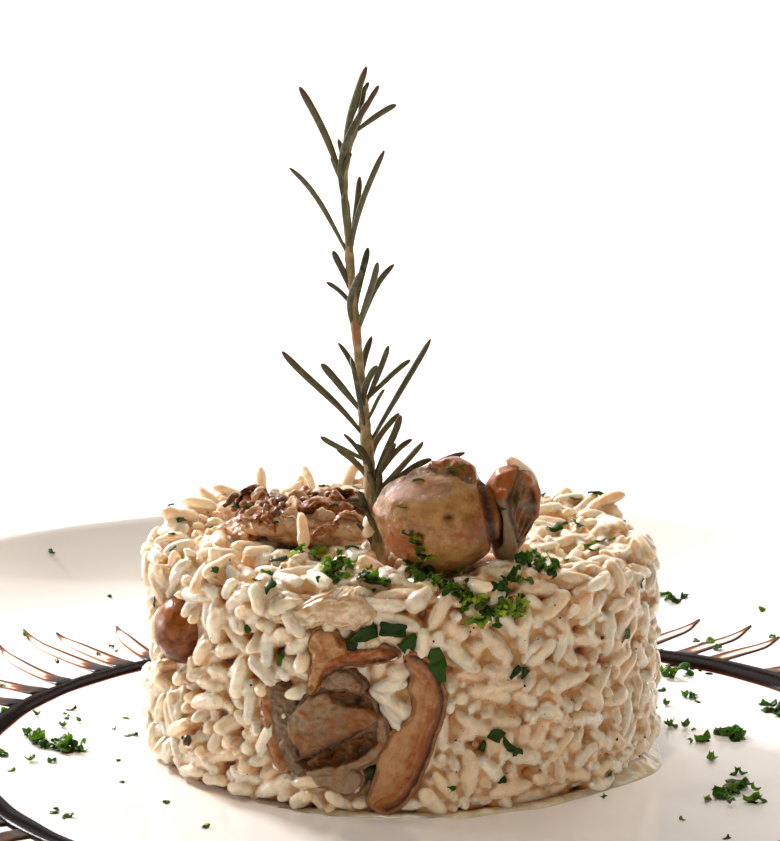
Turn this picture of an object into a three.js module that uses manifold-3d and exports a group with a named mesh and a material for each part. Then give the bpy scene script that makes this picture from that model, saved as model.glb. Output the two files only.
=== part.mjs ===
// Mushroom risotto turned out of a ring mould, on a coupe plate with a drawn ring of dark glaze.
// Millimetres, +Z up. The origin is the centre of the plate's foot, on the table. -Y is the front.
import * as THREE from "three";
import { mergeVertices } from "three/addons/utils/BufferGeometryUtils.js";
import Module from "manifold-3d";

const wasm = await Module();
wasm.setup();

// ---------------------------------------------------------------- driving sizes

const PLATE = {
  radius: 136, // outer edge
  wellRadius: 100, // flat part of the inside
  rimRise: 15, // rim above the well
  rimCurve: 1.7, // exponent of the rim's upward curve
  thickness: 4.2,
  lip: 1.4, // half thickness of the rounded edge
  footRadius: 82,
  footWidth: 5,
  footHeight: 2.8,
  segments: 44,
};
const WELL_Z = PLATE.footHeight + PLATE.thickness;

const GLAZE = {
  centre: [4.2, -8], // drawn by hand, a little off the plate's centre
  radius: 82.5,
  width: 7.6,
  height: 1.7,
  wander: 0.9,
  segments: 48,
  sides: 6,
};

const CORE = { radius: 45.2, height: 40, shoulder: 3.2, dish: 1.2, segments: 28 };
const TOP_Z = WELL_Z + CORE.height;
const GAP = 0.3; // clearance between one piece and the next

const GRAIN = { length: 8.8, width: 3.7, flatness: 0.86, sides: 5, sideCount: 124, topCount: 68 };
const GOLDEN_ANGLE = 137.508;

const SPRIG = {
  foot: [-3.8, -20],
  depth: 13, // of stem in the rice
  height: 80.5, // of stem above it
  footRadius: 1.4,
  tipRadius: 0.5,
  needleWidth: 1.8,
  needleThickness: 0.9,
};

const COLOURS = {
  rice: 0xe6d3b3,
  plate: 0xf4f1ec,
  rosemary: 0x4a4d30,
  browned: 0xa5754d,
  slice: 0xb98a5c,
  stewed: 0x8f7a68,
};

// ---------------------------------------------------------------- helpers

const radians = THREE.MathUtils.degToRad;

// Seeded random numbers from 0 to 1 (mulberry32).
function randomFrom(seed) {
  let state = seed >>> 0;
  return () => {
    state = (state + 0x6d2b79f5) >>> 0;
    let t = state;
    t = Math.imul(t ^ (t >>> 15), t | 1);
    t ^= t + Math.imul(t ^ (t >>> 7), t | 61);
    return ((t ^ (t >>> 14)) >>> 0) / 4294967296;
  };
}

// A copy of a geometry with its positions alone, and its shared vertices merged.
function welded(geometry) {
  const bare = geometry.clone();
  Object.keys(bare.attributes)
    .filter((name) => name !== "position")
    .forEach((name) => bare.deleteAttribute(name));
  return mergeVertices(bare, 1e-4);
}

// A closed geometry as a manifold-3d solid.
function toSolid(geometry) {
  const { attributes, index } = welded(geometry);
  const vertProperties = attributes.position.array;
  const triVerts = new Uint32Array(index.array);
  return new wasm.Manifold(new wasm.Mesh({ numProp: 3, vertProperties, triVerts }));
}

// A manifold-3d solid as a geometry. Loose scraps are dropped: only its largest body is kept.
function toGeometry(solid) {
  const [largest] = solid.decompose().sort((a, b) => b.volume() - a.volume());
  const { numProp, numVert, vertProperties, triVerts } = largest.getMesh();
  const positions = new Float32Array(numVert * 3);
  for (let i = 0; i < numVert; i++) {
    positions.set(vertProperties.subarray(i * numProp, i * numProp + 3), i * 3);
  }
  const geometry = new THREE.BufferGeometry();
  geometry.setAttribute("position", new THREE.BufferAttribute(positions, 3));
  geometry.setIndex(new THREE.BufferAttribute(new Uint32Array(triVerts), 1));
  geometry.computeVertexNormals();
  return geometry;
}

function joined(solids) {
  return wasm.Manifold.union(solids);
}

// Moves every vertex of a geometry with a function that changes its Vector3.
function reshape(geometry, move) {
  const { position } = geometry.attributes;
  const v = new THREE.Vector3();
  for (let i = 0; i < position.count; i++) {
    move(v.fromBufferAttribute(position, i));
    position.setXYZ(i, v.x, v.y, v.z);
  }
  return geometry;
}

// The room that pieces take up with the clearance round them, as one cutter for what lies against them.
function roomFor(geometries) {
  const cutters = geometries.map((geometry) => {
    const cutter = welded(geometry);
    cutter.computeVertexNormals();
    const { position, normal } = cutter.attributes;
    const out = new THREE.Vector3();
    for (let i = 0; i < position.count; i++) {
      out.fromBufferAttribute(normal, i).multiplyScalar(1.4 * GAP); // 1.4, as faces lie inside their corners
      position.setXYZ(i, position.getX(i) + out.x, position.getY(i) + out.y, position.getZ(i) + out.z);
    }
    return toSolid(cutter);
  });
  return joined(cutters);
}

function cleared(geometry, others) {
  return toGeometry(toSolid(geometry).subtract(roomFor(others)));
}

// A lathe about Z from [radius, height] pairs, listed from the bottom round the outside to the top.
function lathe(profile, segments) {
  const points = profile.map(([r, z]) => new THREE.Vector2(r, z));
  return new THREE.LatheGeometry(points, segments).rotateX(Math.PI / 2);
}

// The matrix that lays a piece on a surface: its Y runs along the surface and its Z out of it.
function seat(centre, normal, along) {
  const z = normal.clone().normalize();
  const y = along.clone().projectOnPlane(z).normalize();
  const x = new THREE.Vector3().crossVectors(y, z);
  return new THREE.Matrix4().makeBasis(x, y, z).setPosition(centre);
}

// A place on the risotto's side with its directions: degrees from +X, and height over the well.
function sidePlace(angle, height, radius = CORE.radius) {
  const a = radians(angle);
  const normal = new THREE.Vector3(Math.cos(a), Math.sin(a), 0);
  return {
    centre: normal.clone().multiplyScalar(radius).setZ(WELL_Z + height),
    normal,
    around: new THREE.Vector3(-Math.sin(a), Math.cos(a), 0),
    up: new THREE.Vector3(0, 0, 1),
  };
}

function topPlace(x, y, lift = 0) {
  const sag = CORE.dish * (1 - Math.hypot(x, y) / CORE.radius);
  return {
    centre: new THREE.Vector3(x, y, TOP_Z - sag + lift),
    normal: new THREE.Vector3(0, 0, 1),
    around: new THREE.Vector3(1, 0, 0),
    up: new THREE.Vector3(0, 1, 0),
  };
}

// A soft lump: a sphere of the given half sizes with shallow waves over it.
function lump([a, b, c], wave, phase, columns, rows) {
  return reshape(new THREE.SphereGeometry(1, columns, rows), (v) => {
    const swell = Math.sin(3 * v.x + phase) * Math.cos(2.6 * v.y - phase) + Math.sin(4 * v.z + 2 * phase);
    v.multiplyScalar(1 + wave * swell);
    v.set(v.x * a, v.y * b, v.z * c);
  });
}

// ---------------------------------------------------------------- plate with its glaze and parsley

function plateProfile() {
  const { radius, wellRadius, rimRise, rimCurve, thickness, lip, footRadius, footWidth, footHeight } = PLATE;
  const steps = 4;
  const inner = radius - 2 * lip;
  const steepest = Math.atan((rimCurve * rimRise) / (inner - wellRadius));
  const top = [];
  const under = [];
  for (let i = 0; i <= steps; i++) {
    const t = i / steps;
    const r = wellRadius + (inner - wellRadius) * t;
    const z = WELL_Z + rimRise * Math.pow(t, rimCurve);
    const wall = THREE.MathUtils.lerp(thickness, 2 * lip, t);
    top.unshift([r, z]);
    under.push([r + wall * Math.sin(steepest * t), z - wall * Math.cos(steepest * t)]);
  }
  return [
    [0, footHeight],
    [footRadius - footWidth - 0.8, footHeight],
    [footRadius - footWidth, 0],
    [footRadius, 0],
    [footRadius + 1.2, footHeight],
    ...under,
    [radius, WELL_Z + rimRise],
    [radius - lip, WELL_Z + rimRise + 0.75 * lip],
    ...top,
    [0, WELL_Z],
  ];
}

// A flattened torus sunk into the plate to its middle, with the wander of a hand-drawn line.
function glazeRing() {
  const { centre, radius, width, height, wander, segments, sides } = GLAZE;
  return reshape(new THREE.TorusGeometry(radius, 1, sides, segments), (v) => {
    const a = Math.atan2(v.y, v.x);
    const across = Math.hypot(v.x, v.y) - radius;
    const swell = 1 + 0.12 * Math.sin(5 * a + 1) + 0.08 * Math.sin(9 * a);
    const r = radius + wander * Math.sin(3 * a + 0.6) + (across * width * swell) / 2;
    v.set(centre[0] + r * Math.cos(a), centre[1] + r * Math.sin(a), WELL_Z + v.z * height * swell);
  });
}

// The largest flakes of chopped parsley on the plate: [x, y, length].
const PLATE_FLAKES = [
  [-67, -12.5, 5.5],
  [-71, -8, 4.2],
  [-62.5, -14.5, 4],
  [-51.5, -8.5, 4],
  [-44, -49, 3.2],
  [-76, 95, 3],
  [56, 46, 5.2],
  [58, 30, 4.4],
  [54, 5, 4.6],
  [63, 0.5, 6.4],
  [58.5, -4.5, 5],
  [65, -26, 4.2],
  [63.5, -34, 7.2],
  [57.5, -38.5, 4.4],
  [67.5, -40, 5],
  [59.5, -58, 4.4],
  [56.5, 98, 4.6],
  [-20, 62, 3.8],
  [22, 66, 4.4],
  [6, -62, 4],
];

// A flake is a thin chip that narrows to one end.
function flake(length, width, thickness) {
  return reshape(new THREE.BoxGeometry(length, width, thickness), (v) => {
    const t = v.x / length;
    v.y *= 0.75 - 0.8 * t;
  });
}

function plate() {
  const random = randomFrom(11);
  const chips = PLATE_FLAKES.map(([x, y, length]) => {
    const chip = flake(length, length * (0.5 + 0.25 * random()), 1.1);
    return toSolid(chip.rotateZ(2 * Math.PI * random()).translate(x, y, WELL_Z + 0.2));
  });
  return toGeometry(joined([toSolid(lathe(plateProfile(), PLATE.segments)), toSolid(glazeRing()), ...chips]));
}

// ---------------------------------------------------------------- mushrooms

// The large mushroom on top, browned, lying on its side with a ridge along its upper edge.
function wholeMushroom() {
  const [a, b, c] = [11.8, 9.2, 10];
  return reshape(new THREE.SphereGeometry(1, 15, 10), (v) => {
    const taper = 1 - 0.14 * Math.max(0, -v.x);
    const ridge = 0.07 * Math.exp(-Math.pow((v.y - 0.1) / 0.3, 2)) * Math.max(0, v.z);
    const waves = 0.04 * Math.sin(4 * v.x + 1) + 0.03 * Math.cos(5 * v.z + v.x);
    v.multiplyScalar(1 + ridge + waves);
    v.set(v.x * a, v.y * b, v.z * c * taper);
  })
    .rotateY(radians(9))
    .translate(6.6, -29, TOP_Z + 9.2);
}

// The piece beside it: a half cap standing on its stalk end, hollow on the gill side.
function halfCap() {
  const body = reshape(new THREE.SphereGeometry(1, 12, 8), (v) => {
    const spread = 0.62 + 0.38 * Math.sin((Math.PI / 4) * (v.z + 1));
    const fold = 1 + 0.1 * Math.sin(3 * v.y + 2 * v.z);
    v.set(v.x * 5.2 * spread * fold, v.y * 5.8 * spread, v.z * 8.9);
  });
  const gills = lump([3.6, 4, 6], 0.05, 1, 9, 6).translate(4.2, -3.2, 1.6);
  return toGeometry(toSolid(body).subtract(toSolid(gills)))
    .rotateY(radians(5))
    .translate(19.2, -27, TOP_Z + 9.4);
}

// Browned slices heaped left of the sprig, cupped or arched by their curl, laid one over the other.
const HEAP = {
  mushroom_slice_back: { place: [-13.5, 2, 2], half: [9.5, 5, 2.1], curl: 0.03, turn: 10, tilt: 18 },
  mushroom_slice_left: { place: [-26.5, -4, 2.9], half: [6.4, 4.8, 1.9], curl: -0.07, turn: 64, tilt: -14 },
  mushroom_slice_middle: { place: [-17.5, -11, 3.7], half: [8, 5.4, 2.4], curl: -0.05, turn: -20, tilt: 12 },
};

function heapSlice({ place, half, curl, turn, tilt }, phase) {
  return reshape(lump(half, 0.09, phase, 12, 7), (v) => {
    v.z += 0.5 * curl * v.x * v.x - 0.4 * curl * v.y * v.y;
  })
    .rotateX(radians(tilt))
    .rotateZ(radians(turn))
    .translate(place[0], place[1], TOP_Z + place[2]);
}

// A piece let into the risotto's side.
function letIn(geometry, angle, height, radius) {
  const { centre, normal, up } = sidePlace(angle, height, radius);
  return geometry.applyMatrix4(seat(centre, normal, up));
}

// The grey stewed chunk in the front, with the gills' hollow open at its lower right.
function chunk() {
  const body = lump([9.2, 7.1, 4.6], 0.05, 0.7, 14, 9);
  const hollow = lump([5, 1.9, 2.6], 0.08, 2, 9, 6);
  hollow.rotateZ(radians(20)).translate(2.4, -3, 4.4);
  return letIn(toGeometry(toSolid(body).subtract(toSolid(hollow))), -103.8, 14.9, 43.6);
}

// The round brown button in the left side.
function button() {
  return letIn(lump([6, 6.1, 6.2], 0.015, 0.4, 12, 8), -154, 26.6, 42.4);
}

// A flat slice with eased edges, wrapped round the side just clear of the bare core.
function sideSlice(outline, depth, angle, height) {
  const bevel = 0.45;
  const geometry = new THREE.ExtrudeGeometry(outline, {
    depth: depth - 2 * bevel,
    bevelThickness: bevel,
    bevelSize: bevel,
    bevelOffset: -bevel,
    bevelSegments: 1,
    curveSegments: 5,
  });
  return reshape(geometry.translate(0, 0, bevel + 2 * GAP), (v) => {
    const a = radians(angle) + v.x / CORE.radius;
    const r = CORE.radius + v.z;
    v.set(r * Math.cos(a), r * Math.sin(a), WELL_Z + height + v.y);
  });
}

// The tan slice beside the chunk: a tall crescent that bulges to the right.
function crescent() {
  const outline = new THREE.Shape();
  outline.moveTo(-5.6, -13.6);
  outline.bezierCurveTo(0.8, -12.4, 5.4, -5.4, 5.6, 3.4);
  outline.bezierCurveTo(5.8, 9.2, 4.8, 12.6, 1, 13.9);
  outline.bezierCurveTo(-1.6, 11.6, -0.2, 7.6, -1, 4.2);
  outline.bezierCurveTo(-2, 0.4, -4.6, -1.4, -5.6, -5);
  outline.bezierCurveTo(-6.8, -8, -7.4, -11.8, -5.6, -13.6);
  return sideSlice(outline, 2.9, -88, 14.6);
}

// The browned slice above the chunk: a fleshy lobe with an arm to the right and a drooping left end.
function fold() {
  const outline = new THREE.Shape();
  outline.moveTo(-7.4, -5.6);
  outline.bezierCurveTo(-5.2, -4.4, -5, -2, -2.8, -1.6);
  outline.bezierCurveTo(1, -1.6, 4.6, -1.4, 8, 0.9);
  outline.bezierCurveTo(5.4, 2.8, 2.6, 1.8, -0.4, 2.2);
  outline.bezierCurveTo(-1.4, 4.6, -3.2, 6, -5.6, 5.2);
  outline.bezierCurveTo(-8, 3, -7.8, -2, -7.4, -5.6);
  return sideSlice(outline, 3.2, -100, 27);
}

// ---------------------------------------------------------------- rosemary

// Needles as [height of the foot, length, lean to the right, lean to the front], in mm and degrees.
const NEEDLES = [
  [6, 7, -42, 15],
  [9.5, 19.5, 60, 0],
  [9.5, 14.6, 48, 12],
  [11.5, 14, 43, 5],
  [12, 10.5, -38, -10],
  [12.5, 12, 40, -8],
  [12.5, 11, -15, 25],
  [13, 14.8, 21, 5],
  [13, 10.6, 26, 18],
  [13.5, 11.6, -25, 15],
  [14, 10, 8, -45],
  [15, 12.8, 24, -12],
  [17.5, 10.3, -60, 5],
  [20, 23.6, 29, 5],
  [21, 19, -17, -6],
  [21.5, 22.4, -42, 0],
  [22, 16, -10, 10],
  [24, 9, 25, 20],
  [24, 16.5, 4, -12],
  [24.5, 10, -4, -44],
  [26, 13, -37, 12],
  [26, 12, 12, 28],
  [27, 12.8, 21, 0],
  [28, 12, 48, -5],
  [39.5, 15.5, 27, 0],
  [41, 13, 4, 22],
  [41, 14, 16, 10],
  [42, 14.5, 8, -6],
  [42.5, 9, 2, -40],
  [44, 8.4, -39, 10],
  [46, 10.5, -20, 0],
  [52, 22.8, 15, 5],
  [53.5, 20.4, -33, 5],
  [54, 13, -3, 18],
  [55, 14, 8, -10],
  [56, 10, 0, -38],
  [64.5, 22, -21, 5],
  [64.5, 20.6, 14, 12],
  [66.5, 8, 9, 28],
  [66.5, 7, -20, 20],
  [67.5, 9, -8, -34],
  [70.5, 18.6, 11, 8],
  [71.5, 14.5, 15, -8],
  [75.5, 10.5, 26, 0],
  [76, 9.5, 56, 0],
  [78, 7, 10, -10],
];

// The stem leans left as it rises, and its tip turns back to the right.
function stemAt(height) {
  const bend = 64; // where the tip begins to turn
  const lean = 6.2 * Math.pow(Math.max(0, height) / bend, 0.85);
  const turn = 0.018 * Math.pow(Math.max(0, height - bend), 2);
  return new THREE.Vector3(SPRIG.foot[0] - lean + turn, SPRIG.foot[1] + 0.02 * height, TOP_Z + height);
}

function stem() {
  const { depth, height, footRadius, tipRadius } = SPRIG;
  const length = depth + height;
  return reshape(new THREE.CylinderGeometry(1, 1, length, 6, 10).rotateX(Math.PI / 2), (v) => {
    const h = v.z + length / 2 - depth;
    const axis = stemAt(h);
    const r = THREE.MathUtils.lerp(footRadius, tipRadius, Math.max(0, h) / height);
    v.set(axis.x + v.x * r, axis.y + v.y * r, axis.z);
  });
}

// A flat, blunt needle that leaves the stem steeply and bows outwards.
function needle([height, length, right, front], bow) {
  const half = SPRIG.needleWidth / 2;
  const profile = [
    [0, -0.6],
    [half, 0.35 * length],
    [0.8 * half, 0.86 * length],
    [0, length],
  ];
  const direction = new THREE.Vector3(Math.sin(radians(right)), -Math.sin(radians(front)), 0);
  direction.z = Math.sqrt(1 - direction.lengthSq());
  const aim = new THREE.Quaternion().setFromUnitVectors(new THREE.Vector3(0, 0, 1), direction);
  const foot = stemAt(height);
  return reshape(lathe(profile, 3), (v) => {
    const t = THREE.MathUtils.clamp(v.z / length, 0, 1);
    v.y *= SPRIG.needleThickness / SPRIG.needleWidth;
    v.x -= Math.sign(right) * bow * length * t * (1 - t);
    v.applyQuaternion(aim).add(foot);
  });
}

function rosemary() {
  const random = randomFrom(5);
  return joined([toSolid(stem()), ...NEEDLES.map((row) => toSolid(needle(row, 0.25 * (random() - 0.2))))]);
}

// ---------------------------------------------------------------- risotto

// The bare heap: a moulded drum, wider at its foot, with a rounded shoulder and a shallow dish on top.
function core() {
  const { radius, height, shoulder, dish, segments } = CORE;
  const profile = [
    [0, GAP],
    [radius - 0.6, GAP],
    [radius + 0.8, 2],
    [radius, height - shoulder],
    [radius - shoulder, height],
    [0.5 * radius, height - dish],
    [0, height - dish],
  ];
  return reshape(lathe(profile, segments), (v) => {
    const a = Math.atan2(v.y, v.x);
    const out = 1 + (0.4 * Math.sin(7 * a) + 0.4 * Math.sin(4 * a + 2)) / radius;
    v.set(v.x * out, v.y * out, v.z + WELL_Z);
  });
}

// A cooked grain along Y, blunt at both ends and a little flat.
function grain(length, width) {
  const r = width / 2;
  const h = length / 2;
  const points = [
    [0, -h],
    [r, -0.56 * h],
    [r, 0.56 * h],
    [0, h],
  ].map(([x, y]) => new THREE.Vector2(x, y));
  return new THREE.LatheGeometry(points, GRAIN.sides).scale(1, 1, GRAIN.flatness);
}

// Lays a grain at a place: turned in the surface by spin, and lifted out of it at one end by tilt.
function laidGrain({ centre, normal, around, up }, spin, tilt, lift, random) {
  const along = around.clone().multiplyScalar(Math.cos(spin)).addScaledVector(up, Math.sin(spin));
  const hinge = new THREE.Vector3().crossVectors(normal, along);
  along.applyAxisAngle(hinge, -tilt);
  const out = normal.clone().applyAxisAngle(hinge, -tilt);
  const size = 0.85 + 0.3 * random();
  const matrix = seat(centre.clone().addScaledVector(normal, lift), out, along);
  return grain(GRAIN.length * size, GRAIN.width * (0.88 + 0.24 * random())).applyMatrix4(matrix);
}

// Grains round the side on a rising spiral, and on top on a sunflower spiral that is rougher at the rim.
function* grains() {
  const random = randomFrom(29);
  const { sideCount, topCount } = GRAIN;
  for (let i = 0; i < sideCount; i++) {
    const height = THREE.MathUtils.lerp(2.6, CORE.height - 1.6, (i + 0.5) / sideCount);
    const place = sidePlace(i * GOLDEN_ANGLE + 3 * random(), height);
    yield laidGrain(place, Math.PI * random(), 0.5 * (random() - 0.5), 0.6, random);
  }
  for (let i = 0; i < topCount; i++) {
    const a = radians(i * GOLDEN_ANGLE);
    const share = Math.sqrt((i + 0.5) / topCount);
    const r = (CORE.radius - 2.6) * share;
    const place = topPlace(r * Math.cos(a), r * Math.sin(a));
    const rough = share > 0.8 ? 1.5 : 0.6;
    const lift = 0.4 + 0.6 * rough * random();
    yield laidGrain(place, Math.PI * random(), rough * (random() - 0.5), lift, random);
  }
}

// Parsley pressed on the side: [degrees from +X, height, length, slant in degrees].
const SIDE_FLAKES = [
  [-101.5, 34.4, 5.4, 35],
  [-91.8, 34.2, 5, 85],
  [-86.6, 31.4, 5.6, -30],
  [-82.7, 27.6, 4, 80],
  [-97.5, 6.6, 4.2, 20],
  [-72, 12.6, 5, -25],
  [-64.7, 24.5, 3.8, 20],
  [-33.9, 27.5, 4, 85],
  [-76.5, 36.4, 6, -35],
  [-68, 36.8, 5, 60],
  [150, 22, 4, 40],
  [110, 30, 4.4, -30],
  [75, 14, 4, 60],
  [40, 28, 4.6, 10],
];

// Parsley on top: [x, y, length].
const TOP_FLAKES = [
  [-31, 12, 5],
  [-37, -17, 3],
  [-22, -31, 5],
  [-11.5, -34, 6],
  [-7, -36.5, 5],
  [3, -41, 6],
  [8.4, -41, 5],
  [18, -37, 5.5],
  [26, -32, 5],
  [33.5, -22, 4.4],
  [37, 16, 5],
  [29, 21, 3.6],
  [-12, 20, 4.4],
  [4, 30, 4],
  [14, 12, 4.2],
];

function risottoFlakes() {
  const random = randomFrom(43);
  const thickness = 1.1;
  const onSide = SIDE_FLAKES.map(([angle, height, length, slant]) => {
    const { centre, normal, up } = sidePlace(angle, height, CORE.radius + 0.8);
    const along = up.clone().applyAxisAngle(normal, -radians(slant));
    return flake(length, 0.5 * length, thickness).applyMatrix4(seat(centre, normal, along));
  });
  const onTop = TOP_FLAKES.map(([x, y, length]) => {
    const { centre } = topPlace(x, y, 0.5);
    const normal = new THREE.Vector3(0.5 * (random() - 0.5), 0.5 * (random() - 0.5), 1);
    const along = new THREE.Vector3(random() - 0.5, random() - 0.5, 0);
    return flake(length, 0.5 * length, thickness).applyMatrix4(seat(centre, normal, along));
  });
  return [...onSide, ...onTop];
}

// The drum, seated round the toppings, with every grain and flake that clears them and the plate.
function risotto(toppings) {
  const seats = roomFor(toppings);
  const drum = toSolid(core());
  const clears = (geometry) => {
    geometry.computeBoundingBox();
    return geometry.boundingBox.min.z > WELL_Z + GAP && toSolid(geometry).intersect(seats).volume() === 0;
  };
  const scattered = [...grains(), ...risottoFlakes()].filter(clears).map(toSolid);
  return toGeometry(joined([drum.subtract(seats), ...scattered]));
}

// ---------------------------------------------------------------- assembly

const FINISHES = {
  plate: { color: COLOURS.plate, roughness: 0.1 },
  risotto: { color: COLOURS.rice, roughness: 0.35 },
  rosemary_sprig: { color: COLOURS.rosemary, roughness: 0.6 },
  mushroom_whole: { color: COLOURS.browned, roughness: 0.35 },
  mushroom_half_cap: { color: COLOURS.browned, roughness: 0.4 },
  mushroom_button: { color: COLOURS.browned, roughness: 0.3 },
  mushroom_chunk: { color: COLOURS.stewed, roughness: 0.5 },
};
const SLICE_FINISH = { color: COLOURS.slice, roughness: 0.45 };

const toppings = {};
toppings.mushroom_whole = wholeMushroom();
toppings.mushroom_half_cap = cleared(halfCap(), [toppings.mushroom_whole]);
toppings.rosemary_sprig = toGeometry(rosemary().subtract(roomFor(Object.values(toppings))));
Object.entries(HEAP).forEach(([name, slice], i) => {
  toppings[name] = cleared(heapSlice(slice, 1.3 * i), [...Object.values(toppings), core()]);
});
toppings.mushroom_button = button();
toppings.mushroom_chunk = chunk();
toppings.mushroom_crescent = cleared(crescent(), [toppings.mushroom_chunk]);
toppings.mushroom_fold = cleared(fold(), [toppings.mushroom_chunk, toppings.mushroom_crescent]);

const dish = new THREE.Group();
const nodes = { plate: plate(), risotto: risotto(Object.values(toppings)), ...toppings };
for (const [name, geometry] of Object.entries(nodes)) {
  const material = new THREE.MeshStandardMaterial({ metalness: 0, ...(FINISHES[name] ?? SLICE_FINISH) });
  const mesh = new THREE.Mesh(geometry, material);
  mesh.name = name;
  dish.add(mesh);
}

export default dish;
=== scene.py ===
"""The looks of a mushroom risotto on its plate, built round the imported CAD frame.

Shapes are worked out in millimetres in the part's own frame (origin under the plate, +Z up, -Y to the
front) and scaled to metres as each mesh is made.
"""

import math

import bpy
import numpy as np
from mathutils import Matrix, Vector
from mathutils.bvhtree import BVHTree


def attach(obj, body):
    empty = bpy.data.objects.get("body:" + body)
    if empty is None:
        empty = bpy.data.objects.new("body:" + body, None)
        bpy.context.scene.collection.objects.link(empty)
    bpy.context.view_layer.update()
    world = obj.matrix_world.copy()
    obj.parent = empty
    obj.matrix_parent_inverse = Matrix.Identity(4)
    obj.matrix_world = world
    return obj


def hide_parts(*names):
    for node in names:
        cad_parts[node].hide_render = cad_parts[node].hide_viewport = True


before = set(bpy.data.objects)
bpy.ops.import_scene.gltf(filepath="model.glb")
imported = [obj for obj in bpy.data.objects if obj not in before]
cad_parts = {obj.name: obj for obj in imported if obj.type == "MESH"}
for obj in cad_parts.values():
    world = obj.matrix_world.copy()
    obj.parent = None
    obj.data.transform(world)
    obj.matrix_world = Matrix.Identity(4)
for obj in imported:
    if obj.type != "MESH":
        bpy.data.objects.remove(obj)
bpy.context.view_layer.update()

# ---------------------------------------------------------------- driving sizes, in mm

MM = 0.001
WELL_Z = 7.0  # the flat of the plate, where the risotto stands

PLATE = {
    "radius": 136.0, "well": 100.0, "rise": 15.0, "curve": 1.7, "thickness": 4.2,
    "lip": 1.4, "foot_radius": 82.0, "foot_width": 5.0, "foot_height": 2.8,
}
RING = {"centre": (4.2, -8.0), "radius": 82.5, "width": 4.4, "height": 0.9, "wander": 0.7}

DRUM = {"radius": 47.6, "height": 42.2, "top_edge": 6.0, "foot_edge": 2.2, "dish": 1.4, "shell": 7.4}
GRAIN = {"count": 2350, "length": (5.6, 9.2), "width": (2.35, 3.3), "flat": 0.86, "squeeze": 0.88}
SPRIG_FOOT = (-3.8, -20.0)
SPRIG_TOP_Z = WELL_Z + 40.0  # height 0 of the stem's own scale
STEM = {"depth": 13.0, "height": 80.5, "foot_radius": 1.15, "tip_radius": 0.45}


# ---------------------------------------------------------------- numbers and meshes

def smooth_step(low, high, value):
    t = np.clip((value - low) / (high - low), 0.0, 1.0)
    return t * t * (3.0 - 2.0 * t)


def lattice(cell, seed):
    """A repeatable random value from -1 to 1 for each whole-numbered cell (an integer hash)."""
    x, y, z = (cell[..., k].astype(np.uint32) for k in range(3))
    h = x * np.uint32(374761393) + y * np.uint32(668265263) + z * np.uint32(2147483647)
    h = h + np.uint32(seed * 1274126177 & 0xFFFFFFFF)
    h = (h ^ (h >> np.uint32(13))) * np.uint32(1274126177)
    h = h ^ (h >> np.uint32(16))
    return h.astype(np.float64) / 2147483647.5 - 1.0


def noise(points, size, seed=0):
    """Smooth value noise from -1 to 1, with features of the given size."""
    p = np.asarray(points, float) / size
    cell = np.floor(p)
    f = p - cell
    f = f * f * (3.0 - 2.0 * f)
    cell = cell.astype(np.int64)
    total = 0.0
    for dx in (0, 1):
        for dy in (0, 1):
            for dz in (0, 1):
                step = np.array([dx, dy, dz])
                weight = np.prod(np.where(step == 1, f, 1.0 - f), axis=-1)
                total = total + weight * lattice(cell + step, seed)
    return total


def rough(points, size, octaves=3, seed=0):
    """Noise summed over octaves, each half the size and half as strong as the last."""
    parts = [noise(points, size / 2**k, seed + 17 * k) / 2**k for k in range(octaves)]
    return sum(parts) / (2.0 - 0.5 ** (octaves - 1))


def as_mesh(name, points, faces, values=None):
    """A mesh in metres from points in mm and triangles; values are named numbers for each point."""
    mesh = bpy.data.meshes.new(name)
    faces = np.asarray(faces, np.int32)
    mesh.vertices.add(len(points))
    mesh.vertices.foreach_set("co", (np.asarray(points) * MM).astype(np.float32).ravel())
    mesh.loops.add(faces.size)
    mesh.loops.foreach_set("vertex_index", faces.ravel())
    mesh.polygons.add(len(faces))
    mesh.polygons.foreach_set("loop_start", np.arange(0, faces.size, faces.shape[1], dtype=np.int32))
    mesh.update(calc_edges=True)
    mesh.validate()
    mesh.shade_smooth()
    for key, value in (values or {}).items():
        layer = mesh.attributes.new(key, "FLOAT", "POINT")
        layer.data.foreach_set("value", np.asarray(value, np.float32).ravel())
    return mesh


def piece(name, points, faces, material, slot, replaces=(), values=None):
    """A visible piece of the dish, riding on the one body."""
    obj = bpy.data.objects.new(name, as_mesh(name, points, faces, values))
    obj.data.materials.append(material)
    bpy.context.scene.collection.objects.link(obj)
    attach(obj, "root")
    if replaces:
        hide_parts(*replaces)
    return obj


def turns(count):
    """Angles spread evenly round a circle."""
    return 2.0 * np.pi * np.arange(count) / count


def grid_faces(rows, columns, wrap=False):
    """Triangles over a grid of points, row by row; wrap joins its last column to its first."""
    across = columns if wrap else columns - 1
    r, c = np.meshgrid(np.arange(rows - 1), np.arange(across), indexing="ij")
    a = r * columns + c
    b = r * columns + (c + 1) % columns
    d, e = a + columns, b + columns
    return np.concatenate([np.stack([a, b, e], -1).reshape(-1, 3), np.stack([a, e, d], -1).reshape(-1, 3)])


def tube_faces(rings, sides):
    """Triangles of a closed tube: its first point, rings of so many sides, and its last point."""
    k = np.arange(sides)
    n = (k + 1) % sides
    last = rings * sides + 1
    foot = np.stack([0 * k, n + 1, k + 1], -1)
    head = np.stack([0 * k + last, last - sides + k, last - sides + n], -1)
    return np.concatenate([foot, grid_faces(rings, sides, wrap=True) + 1, head])


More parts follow.
